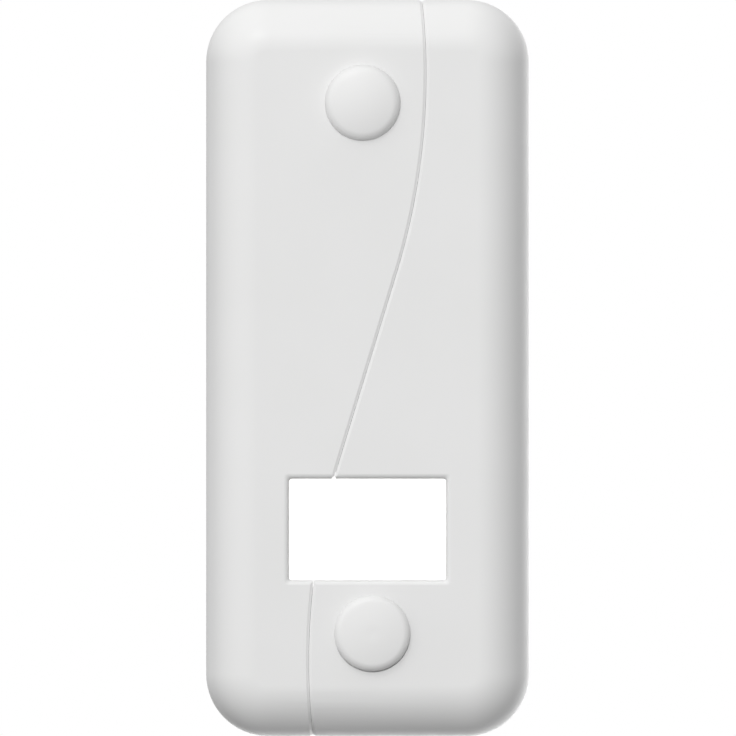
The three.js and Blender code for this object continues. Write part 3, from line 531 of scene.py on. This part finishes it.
def circuit_board(name, cell):
    finish, nodes, links, shader, where = new_finish(name)
    tracks = nodes.new("ShaderNodeTexVoronoi")
    tracks.distance = "CHEBYCHEV"
    tracks.feature = "F1"
    tracks.inputs["Scale"].default_value = 1 / (cell * MM)
    tracks.inputs["Randomness"].default_value = 0.85
    links.new(where, tracks.inputs["Vector"])
    lines = spread(nodes, links, tracks.outputs["Distance"], 1, 0, 0.36, 0.42)
    links.new(two_colours(nodes, links, lines, (0.02, 0.12, 0.06), (0.035, 0.2, 0.1)),
              shader.inputs["Base Color"])
    links.new(spread(nodes, links, noise(nodes, links, where, 3), 0.22, 0.34), shader.inputs["Roughness"])
    add_bump(nodes, links, shader, lines, 0.03, 0.6)
    return finish


board_green = circuit_board("board_green", 2.6)
amber_film = moulded("amber_film", (0.42, 0.17, 0.03), (0.5, 0.22, 0.05), 0.3, 1.0, 0.006, 1.5)
print("metals and boards:", zinc_plate.name, board_green.name)

# %% [markdown]
# ## The front covers
#
# The two covers are one moulded form cut in two, so they are modelled as one. A block is given its rounded
# corners, then the deep round-over of the face. A wall is made with Solidify, and the window and the two
# round holes are cut. Cutting the seam last keeps the surface running smoothly across it, as it does on
# the real shell, whose halves are moulded to meet.

# %% The rounded block
covers = block("front_covers", (-half_width, parting, -half_height), (half_width, face, half_height), 11.6, 16)
with editing(covers):
    around = select(covers, "edges", lambda edge: at_out(edge, face))
    bpy.ops.mesh.bevel(offset=9.6 * MM, segments=14, profile=0.5, affect="EDGES")
print("round-over taken along", around, "edges")

# %% Open the back and give it a wall
with editing(covers, "FACE"):
    select(covers, "faces", lambda shape_face: shape_face.normal.y > 0.9)
    bpy.ops.mesh.delete(type="FACE")
finish_with(covers, "SOLIDIFY", thickness=wall * MM, offset=-1, use_even_offset=True)
print("shell with", len(covers.data.polygons), "faces")

# %% [markdown]
# The edges of the openings are rounded. A bevel on a face with so many holes is easily upset, so the
# rounding is given to the cutters instead: each widens towards its top along a quarter circle.


# %% Cut the window and the two round holes
def flare(radius, steps=6):
    """How much a cutter widens, and at what distance out of the wall, to leave a rounded edge."""
    curve = []
    for i in range(steps + 1):
        turn = math.radians(84 * i / steps)
        curve.append((radius * (1 - math.cos(turn)), face - radius * (1 - math.sin(turn))))
    return curve + [(radius * 1.04, face + 0.03), (radius * 1.04, face + 1)]


opening_half = Vector((14.7, 0, 9.5))
window_edge = 0.95
widening = flare(window_edge)
window_cutter = block(
    "window_cutter",
    (-opening_half.x, inside - 1, window_at.z - opening_half.z),
    (opening_half.x, widening[0][1], window_at.z + opening_half.z),
    0.6,
)
with editing(window_cutter, "FACE"):
    select(window_cutter, "faces", lambda part: part.normal.y < -0.9)
    for (grown, out), (more, further) in zip(widening, widening[1:]):
        bpy.ops.mesh.extrude_region_move(TRANSFORM_OT_translate={"value": place(0, further - out, 0)})
        scale = [(half + more) / (half + grown) for half in (opening_half.x, opening_half.z)]
        bpy.ops.transform.resize(value=(scale[0], 1, scale[1]), center_override=place(0, 0, window_at.z))
combine(covers, window_cutter)


hole_edge = 0.3


def hole_cutter(at, radius):
    profile = [(0, inside - 1), (radius, inside - 1)]
    profile += [(radius + grown, out) for grown, out in flare(hole_edge, 4)]
    return turned("hole_cutter", profile + [(0, face + 1)], at.x, at.z, 64)


combine(covers, hole_cutter(camera_at, 6.2))
combine(covers, hole_cutter(bell_at, 5.5))
print("openings cut:", edges_of(covers), "edges")

# %% [markdown]
# Screws hold the covers from behind, so each cover has hollow posts on its inside. A post is turned with
# its blind hole in one profile, and joined to the cover. Its top is tapered so that it stays inside the
# round-over. The camera and the bell push have short posts of their own.


# %% Posts for the screws
def post(x, up, radius, end, hole, hole_depth):
    profile = [(hole, end), (radius - 0.15, end), (radius, end + 0.15), (radius, inside - 0.6),
               (0.65 * radius, inside + 0.1), (0, inside + 0.1), (0, hole_depth), (hole, hole_depth), (hole, end)]
    return turned("post", profile, x, up, 40)


cover_posts = [(-22.25, 60), (-22.25, -60), (-23.5, -15.3), (22.25, 60), (22.25, -60), (23.5, 15.3)]
for x, up in cover_posts:
    combine(covers, post(x, up, 2.5, 8.3, 1.25, 18.3), "UNION")
for screw in ("camera_screw_1", "camera_screw_2"):
    at = centre(screw)
    combine(covers, post(at.x, at.z, 2.2, 12.9, 1.05, 18.9), "UNION")
for screw in ("guide_screw_1", "guide_screw_2"):
    at = centre(screw)
    combine(covers, post(at.x, at.z, 2.2, 21, 1.05, 24.3), "UNION")
print("with posts:", len(covers.data.polygons), "faces")

# %% [markdown]
# ## The S-shaped seam
#
# Seen from the front the seam is a straight line that leans seventeen degrees, with a large arc at each end
# that brings it back upright. A sheet of that shape is easy to make by hand: a straight strip is added,
# and each of its ends is spun round the centre of its arc. Given a hair's thickness, the sheet is the
# blade that parts the covers.

# %% The blade
lean = math.radians(17)
straight, bend = 18.6, 127.0
bend_x = straight * math.sin(lean) - bend * math.cos(lean)
bend_up = straight * math.cos(lean) + bend * math.sin(lean)
sweep = lean + math.asin((half_height + 3 - bend_up) / bend)

bpy.ops.object.select_all(action="DESELECT")
bpy.ops.mesh.primitive_plane_add(size=1, location=place(0, (parting + face) / 2, 0))
blade = bpy.context.object
blade.name = "seam_blade"
blade.scale = (2 * straight * MM, (face - parting + 2) * MM, 1)
blade.rotation_euler = (0, lean - math.pi / 2, 0)
settle()
with editing(blade):
    for end in (1, -1):
        select(blade, "edges", lambda edge: along(edge, 1) and edge.verts[0].co.z * end > 0.01)
        bpy.ops.mesh.spin(steps=28, angle=sweep, center=place(end * bend_x, 0, end * bend_up), axis=(0, 1, 0))
ends = [vert.co / MM for vert in blade.data.vertices]
print("blade reaches up", round(max(v.z for v in ends), 1), "and across", round(max(v.x for v in ends), 2))
print("its upper end is at x", round(max(ends, key=lambda v: v.z).x, 2))


# %% [markdown]
# ## The groove along the seam
#
# On the real shell each half slopes down gently to where it meets the other, and the two slopes make a
# shallow groove. It is cut before the covers are parted. Its cutter is a thin strip whose underside is a
# soft wave across, and which follows the seam along the flat face and round both ends. That path bends
# two ways at once, which spinning can't do, so a grid is added and its points are laid along the path
# in code, then it is given its thickness by an extrusion away from the surface.


# %% The path of the seam on the surface
round_over = 9.6
bend_out, bend_height = face - round_over, half_height - round_over


def seam_x(up):
    """Where the seam lies, to the right of the middle, at a height."""
    side = 1 if up >= 0 else -1
    height = abs(up)
    if height <= straight * math.cos(lean):
        return up * math.tan(lean)
    return side * (bend_x + math.sqrt(bend**2 - (height - bend_up) ** 2))


def seam_lean(up):
    """How far the seam leans from upright there, as an angle to the right."""
    height = abs(up)
    if height <= straight * math.cos(lean):
        return lean
    return -math.asin((height - bend_up) / bend)


def on_surface(length):
    """The place (out, up) and the surface's tilt, at a length along the surface from the middle."""
    side, way = (1 if length >= 0 else -1), abs(length)
    turn = min(max(way - bend_height, 0) / round_over, math.pi / 2)
    beyond = max(way - bend_height - round_over * math.pi / 2, 0)
    out = bend_out + round_over * math.cos(turn) - beyond
    up = min(way, bend_height) + round_over * math.sin(turn)
    return out, side * up, side * turn


# %% Cut the groove
groove_half, groove_depth, groove_lift = 0.64, 0.3, 0.006
rows, columns = 241, 13
reach = bend_height + round_over * math.pi / 2 + 3
bpy.ops.object.select_all(action="DESELECT")
bpy.ops.mesh.primitive_grid_add(x_subdivisions=columns - 1, y_subdivisions=rows - 1, size=2)
groove = bpy.context.object
groove.name = "groove_cutter"
for vert in groove.data.vertices:
    across, length = vert.co.x * groove_half, vert.co.y * reach
    out, up, tilt = on_surface(length)
    dip = groove_lift - groove_depth * (1 + math.cos(math.pi * across / groove_half)) / 2
    turned_by = seam_lean(up)
    x = seam_x(up) + across * math.cos(turned_by)
    up_shift = -across * math.sin(turned_by)
    vert.co = place(x, out + dip * math.cos(tilt) - up_shift * math.sin(tilt),
                    up + dip * math.sin(tilt) + up_shift * math.cos(tilt))
with editing(groove, "FACE"):
    bpy.ops.mesh.select_all(action="SELECT")
    bpy.ops.mesh.normals_make_consistent(inside=False)
middle_face = groove.data.polygons[len(groove.data.polygons) // 2]
finish_with(groove, "SOLIDIFY", thickness=0.5 * MM, offset=1 if middle_face.normal.y < 0 else -1)
print("groove cutter", len(groove.data.polygons), "faces, box", [round(v / MM, 1) for v in groove.dimensions])
combine(covers, groove)

# %% Notch over the window, then part the covers
opening_top = window_at.z + opening_half.z
combine(covers, rod("notch", seam_x(opening_top), opening_top, 0.38, inside - 1, face + 1, 24))
blade_thickness = 0.05
finish_with(blade, "SOLIDIFY", thickness=blade_thickness * MM, offset=0)
combine(covers, blade)
pick(covers)
bpy.ops.object.mode_set(mode="EDIT")
bpy.ops.mesh.select_all(action="SELECT")
bpy.ops.mesh.separate(type="LOOSE")
bpy.ops.object.mode_set(mode="OBJECT")


def sideways(half):
    """How far right a piece lies, as the mean of its vertices."""
    return sum(v.co.x for v in half.data.vertices) / len(half.data.vertices)


halves = sorted(bpy.context.selected_objects, key=sideways)
print("parts:", [(o.name, len(o.data.vertices)) for o in halves])
left_cover, right_cover = halves
left_cover.name, right_cover.name = "left_cover", "right_cover"
for cover in halves:
    smooth(cover, 28)

# %% Fitting a piece into the frame
def fit(piece, body, slot, finish, *nodes):
    """Gives a piece its finish and its body, and hides the solids that it stands for. The slot is not used."""
    piece.data.materials.clear()
    piece.data.materials.append(finish)
    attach(piece, body)
    for node in nodes:
        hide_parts(node)
    low, high = (Vector(c) / MM for c in (piece.bound_box[0], piece.bound_box[6]))
    print(piece.name, "on", body, [round(v, 1) for v in low], [round(v, 1) for v in high])
    return piece


fit(left_cover, "housing", "white_plastic", cover_white, "left_front_cover")
fit(right_cover, "housing", "white_plastic", cover_white, "right_front_cover")

# %% [markdown]
# ## The domes
#
# Privacy cap and bell push look the same: a low dome with a rounded rim. Both are turned, so they share
# the curve of the dome. The crown is part of a large sphere that runs smoothly into the rounded edge, so
# the light slides over it without a ring.

# %% The shared curve of the domes
dome_radius, dome_top = 7.1, 27.6


def dome_curve(rim, edge, end, crown_turn, dimple=0.0):
    """From the rim's underside up over the edge to the crown, as (radius, out). The edge is an arc that
    starts at the crown, tilted by crown_turn, and ends at the rim, tilted by end, in degrees."""
    arc_centre = dome_radius - edge * math.sin(math.radians(end))
    crown_rim = arc_centre + edge * math.sin(math.radians(crown_turn))
    crown_radius = crown_rim / math.sin(math.radians(crown_turn))
    arc_out = dome_top - crown_radius * (1 - math.cos(math.radians(crown_turn)))
    arc_out -= edge * math.cos(math.radians(crown_turn))
    points = [(dome_radius - 0.12, rim), (dome_radius - 0.03, rim + 0.03)]
    points += arc(arc_centre, arc_out, edge, 90 - end, 90 - crown_turn, 12)
    crown = arc(0, dome_top - crown_radius, crown_radius, 91.2 - crown_turn, 90, 16)
    return points + [(r, out - dimple * math.exp(-((r / 1.1) ** 2))) for r, out in crown]


print("dome curve:", len(dome_curve(26, 1.75, 70, 10)), "points")

# %% [markdown]
# The cap is a thin cup that sits over the camera's glass. The bell push has a skirt that slides in its
# guide, and a stem with a groove for the clip that holds it in. A shallow dimple in its middle tells a
# finger where to press.

# %% Privacy cap and bell push
cap_profile = [(0, 26.7), (2, 26.69), (3.5, 26.67), (5, 26.61), (5.6, 26.52), (5.9, 26.42), (6.05, 26.2),
               (6.05, 25.3), (6.2, 25.15)]
cap = turned("privacy_cap", cap_profile + dome_curve(25.15, 2.07, 80, 15), camera_at.x, camera_at.z, 128)
smooth(cap, 40)
fit(cap, "camera_cap", "white_plastic", button_white, "camera_cap")

stem = [(0, 17.0), (1.7, 17.0), (2.0, 17.3), (2.0, 17.5), (1.6, 17.5), (1.6, 18.3), (2.0, 18.3),
        (2.0, 26.6), (2.15, 26.7), (4.1, 26.7), (4.3, 26.5), (4.3, 20.4), (4.4, 20.3), (5.1, 20.3),
        (5.2, 20.4), (5.2, 25.9), (5.3, 26.0)]
push = turned("bell_push", stem + dome_curve(26.0, 1.75, 70, 10, 0.06), bell_at.x, bell_at.z, 128)
smooth(push, 40)
fit(push, "bell_push", "white_plastic", button_white, "bell_button")

# %% [markdown]
# ## The name window
#
# The window is a clear plate with a raised step that fills the opening, so that it can't fall out or be
# pushed in. It starts as a block. Its front face is inset, extruded to make the step, and the step's
# edges are rounded. A white card lies behind it with a painted glow, its own emission, so the window glows.

# %% Window and card
low, high = span("name_window")
step_out = 22.9
window = block("name_window_pane", low, (high.x, step_out, high.z))
with editing(window, "FACE"):
    select(window, "faces", lambda part: at_out(part, step_out))
    bpy.ops.mesh.inset(thickness=1.4 * MM)
    bpy.ops.mesh.extrude_region_move(TRANSFORM_OT_translate={"value": place(0, high.y - step_out, 0)})
with editing(window):
    select(window, "edges", lambda edge: along(edge, 1))
    bpy.ops.mesh.bevel(offset=0.4 * MM, segments=5, affect="EDGES")
    select(window, "edges", lambda edge: at_out(edge, high.y))
    bpy.ops.mesh.bevel(offset=0.2 * MM, segments=3, affect="EDGES")
smooth(window)
fit(window, "housing", "clear_plastic", clear_acrylic, "name_window")

low, high = span("name_card")
# The card's glow is painted, by its own emission.
card = block("painted_glow_name_card", low, high, 0.8, 5)
with editing(card):
    select(card, "edges", lambda edge: at_out(edge, high.y) or at_out(edge, low.y))
    bpy.ops.mesh.bevel(offset=0.06 * MM, segments=2, affect="EDGES")
smooth(card)
fit(card, "housing", "white_card", painted_glow_card, "name_card")

# %% [markdown]
# ## The camera
#
# All of the camera is round, so its pieces are turned, and so are the coil and the capacitor on the main
# board. The bezel holds the cover glass, which sits a little below the bezel's rim, under the cap. In the
# barrel, fine steps around the lens keep stray light out, and a coarse thread outside lets the maker
# focus it. The lens is the front of a sphere.


# %% Turned camera pieces
def ridges(radius, ridge, start, end, pitch):
    """Rings like a thread: pairs of points that go in and out along a rod."""
    points = []
    for i in range(int((end - start) / pitch)):
        at = start + i * pitch
        points += [(radius - ridge, at + 0.15 * pitch), (radius, at + 0.45 * pitch), (radius, at + 0.6 * pitch),
                   (radius - ridge, at + 0.9 * pitch)]
    return points


turned_parts = {
    "camera_bezel": ("black_plastic", satin_black, [
        (4.4, 19.9), (5.8, 19.9), (5.9, 20.0), (5.9, 21.1), (8.3, 21.1), (8.4, 21.2), (8.4, 22.2), (8.3, 22.3),
        (5.9, 22.3), (5.9, 26.15), (5.83, 26.33), (5.65, 26.4), (5.3, 26.4), (5.05, 26.3), (5.0, 26.15),
        (5.0, 25.0), (4.5, 25.0), (4.4, 24.9), (4.4, 19.9)]),
    "camera_gasket": ("silicone", grey_silicone, [
        (6.3, 22.48), (6.38, 22.4), (8.02, 22.4), (8.1, 22.48), (8.1, 22.75), (8.0, 22.85), (7.6, 22.9),
        (7.2, 22.84), (6.8, 22.9), (6.4, 22.86), (6.3, 22.78), (6.3, 22.48)]),
    "camera_glass": ("optical_glass", coated_glass, [
        (0, 25.1), (4.75, 25.1), (4.87, 25.15), (4.9, 25.25), (4.9, 25.95), (4.87, 26.05), (4.75, 26.1),
        (0, 26.1)]),
    "lens_barrel": ("black_plastic", satin_black, [
        (0, 15.3), (3.6, 15.3), (3.8, 15.5)] + ridges(4.0, 0.2, 15.8, 20.4, 0.5) + [
        (3.8, 20.6), (4.0, 20.8), (4.0, 24.35), (3.9, 24.5), (3.75, 24.5), (3.7, 24.3), (3.5, 24.25),
        (3.45, 24.05), (3.25, 24.0), (3.2, 23.8), (3.1, 23.75), (3.1, 23.3), (0, 23.3)]),
    "front_lens": ("optical_glass", lens_glass, [
        (0, 23.4), (2.85, 23.4), (3.0, 23.5), (3.0, 23.75)] + arc(0, 24.8 - 4.9, 4.9, 53, 90, 14)),
    "storage_capacitor": ("shield_tin", tinned_sheet, [
        (0, 12), (3.8, 12), (4, 12.15), (4, 13.4), (3.85, 13.5), (3.75, 13.7), (3.85, 13.9), (4, 14),
        (4, 19.05),
        (3.9, 19.35), (3.65, 19.5), (3.3, 19.5), (3.1, 19.4), (0, 19.4)]),
    "power_coil": ("black_plastic", satin_black, [
        (0, 12), (4.85, 12), (5, 12.15), (5, 12.7), (4.85, 12.85), (4.3, 12.85)]
        + ridges(4.45, 0.15, 12.9, 15.5, 0.4) + [
            (4.3, 15.65), (4.85, 15.65), (5, 15.8), (5, 16.35), (4.85, 16.5), (2, 16.5), (1.8, 16.3), (0, 16.3)]),
}
for node, (slot, finish, profile) in turned_parts.items():
    at = centre(node)
    piece = smooth(turned(node + "_turned", profile, at.x, at.z, 96), 30)
    fit(piece, "housing", slot, finish, node)

# %% [markdown]
# ## The bell's spring
#
# The spring is one length of wire wound in a helix. A small circle, the wire's section, stands beside the
# axis, and the Screw modifier winds it. Its open ends are then filled. On the real doorbell the spring is
# squeezed towards its foot when the push goes in.

# %% Spring
wire, coil_radius, turns = 0.25, 3.15, 3.5
low, high = span("button_spring")
bpy.ops.object.select_all(action="DESELECT")
bpy.ops.mesh.primitive_circle_add(vertices=16, radius=wire * MM,
                                  location=place(bell_at.x, low.y + wire, bell_at.z))
spring = bpy.context.object
spring.name = "push_spring"
with editing(spring, "VERT"):
    bpy.ops.mesh.select_all(action="SELECT")
    bpy.ops.transform.translate(value=(coil_radius * MM, 0, 0))
finish_with(spring, "SCREW", axis="Y", angle=2 * math.pi * turns, steps=168, render_steps=168, iterations=1,
            screw_offset=-(high.y - low.y - 2 * wire) * MM, use_merge_vertices=False)
with editing(spring):
    bpy.ops.mesh.select_all(action="SELECT")
    bpy.ops.mesh.fill_holes(sides=0)
    bpy.ops.mesh.select_all(action="SELECT")
    bpy.ops.mesh.normals_make_consistent(inside=False)
pick(spring)
settle()
smooth(spring)
fit(spring, "housing", "spring_steel", spring_wire, "button_spring")
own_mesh(spring)

# %% [markdown]
# ## Screws
#
# There are six kinds of screw, all made the same way. The head and the threaded shank are turned in one
# profile, then a cross, or a slot for the terminals, is cut into the head. Each kind is modelled once, at
# the origin with its head resting on y = 0, and copied to its places.


# %% A pan-head screw
def screw_kind(shank, head, rise, length, slotted=False):
    profile = [(0, -rise), (0.55 * head, -rise), (0.82 * head, -0.86 * rise), (0.95 * head, -0.6 * rise),
               (head, -0.3 * rise), (head, -0.08), (head - 0.08, 0), (shank - 0.2, 0), (shank - 0.2, 0.3)]
    profile += ridges(shank, 0.2, 0.3, length - 0.6, 0.6)
    profile += [(shank - 0.25, length - 0.45), (0.5 * shank, length), (0, length)]
    screw = turned("screw", profile, 0, 0, 40)
    long, thin, foot = 0.55 * head, 0.13 * head, -0.3 * rise
    if slotted:
        long, thin, foot = 1.2 * head, 0.17 * head, -0.45 * rise
    combine(screw, block("slot", (-long, -rise - 0.1, -thin), (long, foot, thin)))
    if not slotted:
        combine(screw, block("slot", (-thin, -rise - 0.1, -long), (thin, foot, long)))
    return smooth(screw, 30)


def place_screws(screw, nodes, finish, slot, turn=(0, 0, 0), seat=lambda low, high: low.y):
    for number, node in enumerate(nodes):
        low, high = span(node)
        middle = (low + high) / 2
        piece = bpy.data.objects.new(node + "_threaded", screw.data.copy())
        scene.collection.objects.link(piece)
        piece.location = place(middle.x, seat(low, high), middle.z)
        piece.rotation_euler = (turn[0], turn[1] + 0.7 * number, turn[2]) if not any(turn) else turn
        pick(piece)
        settle()
        fit(piece, "housing", slot, finish, node)
    bpy.data.objects.remove(screw)


def numbered(name, count):
    return [f"{name}_{i + 1}" for i in range(count)]


# %% All the screws
place_screws(screw_kind(1.1, 2.1, 1.6, 9), numbered("cover_screw", 6), zinc_plate, "zinc_steel",
             seat=lambda low, high: low.y + 1.6)
place_screws(screw_kind(0.9, 1.8, 1.2, 5), numbered("camera_screw", 2), zinc_plate, "zinc_steel",
             seat=lambda low, high: low.y + 1.2)
place_screws(screw_kind(0.9, 1.8, 1.2, 4.2), numbered("guide_screw", 2), zinc_plate, "zinc_steel",
             seat=lambda low, high: low.y + 1.2)
place_screws(screw_kind(1, 2, 1.2, 3), numbered("board_screw", 4), zinc_plate, "zinc_steel",
             turn=(0, 0, math.pi), seat=lambda low, high: high.y - 1.2)
place_screws(screw_kind(1.5, 3, 1.7, 3.6, slotted=True), numbered("terminal_screw", 2), turned_brass, "brass",
             seat=lambda low, high: low.y + 1.7)
security = screw_kind(1.2, 2.3, 1, 6)
low, high = span("security_screw")
security.name = "security_screw_threaded"
security.rotation_euler = (-math.pi / 2, 0, 0)
security.location = place(0, centre("security_screw").y, low.z + 1)
pick(security)
settle()
fit(security, "housing", "zinc_steel", zinc_plate, "security_screw")

# %% [markdown]
# ## The parts that keep the design's shape
#
# The rear housing, the wall bracket, the boards and the small parts have the right shape already, but
# their edges are razor sharp. A copy of each solid is merged, its flat faces are cleaned, and a bevel
# rounds every sharp edge by an amount that suits how the part is made: moulded edges are soft, and
# pressed sheet and boards are crisp.


# %% Rounding a copy of a solid
def softened(node, width):
    piece = bpy.data.objects.new(node + "_rounded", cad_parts[node].data.copy())
    scene.collection.objects.link(piece)
    pick(piece)
    if piece.data.has_custom_normals:
        bpy.ops.mesh.customdata_custom_splitnormals_clear()
    with editing(piece):
        bpy.ops.mesh.select_all(action="SELECT")
        bpy.ops.mesh.remove_doubles(threshold=0.001 * MM)
        bpy.ops.mesh.dissolve_limited(angle_limit=math.radians(0.6))
        bpy.ops.mesh.select_all(action="SELECT")
        bpy.ops.mesh.normals_make_consistent(inside=False)
    finish_with(piece, "BEVEL", width=width * MM, segments=2, limit_method="ANGLE",
                angle_limit=math.radians(40), use_clamp_overlap=True)
    return smooth(piece, 35)


rounded_parts = [
    ("rear_housing", 0.35, "housing_plastic", housing_white),
    ("wall_bracket", 0.3, "housing_plastic", housing_white),
    ("cover_gasket", 0.3, "silicone", grey_silicone),
    ("card_frame", 0.25, "white_plastic", frame_white),
    ("light_guide", 0.3, "clear_plastic", guide_acrylic),
    ("button_guide", 0.12, "natural_plastic", natural_acetal),
    ("switch_base", 0.15, "black_plastic", satin_black),
    ("lens_holder", 0.25, "black_plastic", satin_black),
    ("image_sensor", 0.1, "black_plastic", satin_black),
    ("camera_board", 0.05, "circuit_board", board_green),
    ("main_board", 0.06, "circuit_board", board_green),
    ("wifi_antenna", 0.05, "circuit_board", board_green),
    ("processor_shield", 0.3, "shield_tin", tinned_sheet),
    ("microphone", 0.12, "shield_tin", tinned_sheet),
    ("microphone_boot", 0.3, "silicone", grey_silicone),
    ("flex_connector", 0.1, "natural_plastic", natural_acetal),
    ("speaker_frame", 0.25, "black_plastic", satin_black),
    ("speaker_magnet", 0.15, "zinc_steel", zinc_plate),
    ("terminal_post_1", 0.25, "brass", turned_brass),
    ("terminal_post_2", 0.25, "brass", turned_brass),
]
for node, width, slot, finish in rounded_parts:
    fit(softened(node, width), "housing", slot, finish, node)
fit(softened("button_clip", 0.06), "bell_push", "spring_steel", spring_wire, "button_clip")
fit(softened("switch_plunger", 0.12), "switch_plunger", "natural_plastic", natural_acetal, "switch_plunger")

# %% [markdown]
# ## Finishes for the solids that stay
#
# What is left is seen only when the doorbell is opened: foam, film, the speaker's cone and the small
# lamps behind the card. Their shapes stay as they are and they get the finish that fits each.

# %% Finishes by name
kept_finishes = {
    "speaker_foam": black_foam,
    "speaker_cone": cone_black,
    "camera_flex": amber_film,
    "name_led_left": white_resin,
    "name_led_centre": white_resin,
    "name_led_right": white_resin,
}
for node, finish in kept_finishes.items():
    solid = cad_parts[node]
    if not solid.material_slots:
        solid.data.materials.append(finish)
    for material_slot in solid.material_slots:
        material_slot.material = finish
print("kept solids:", list(kept_finishes))
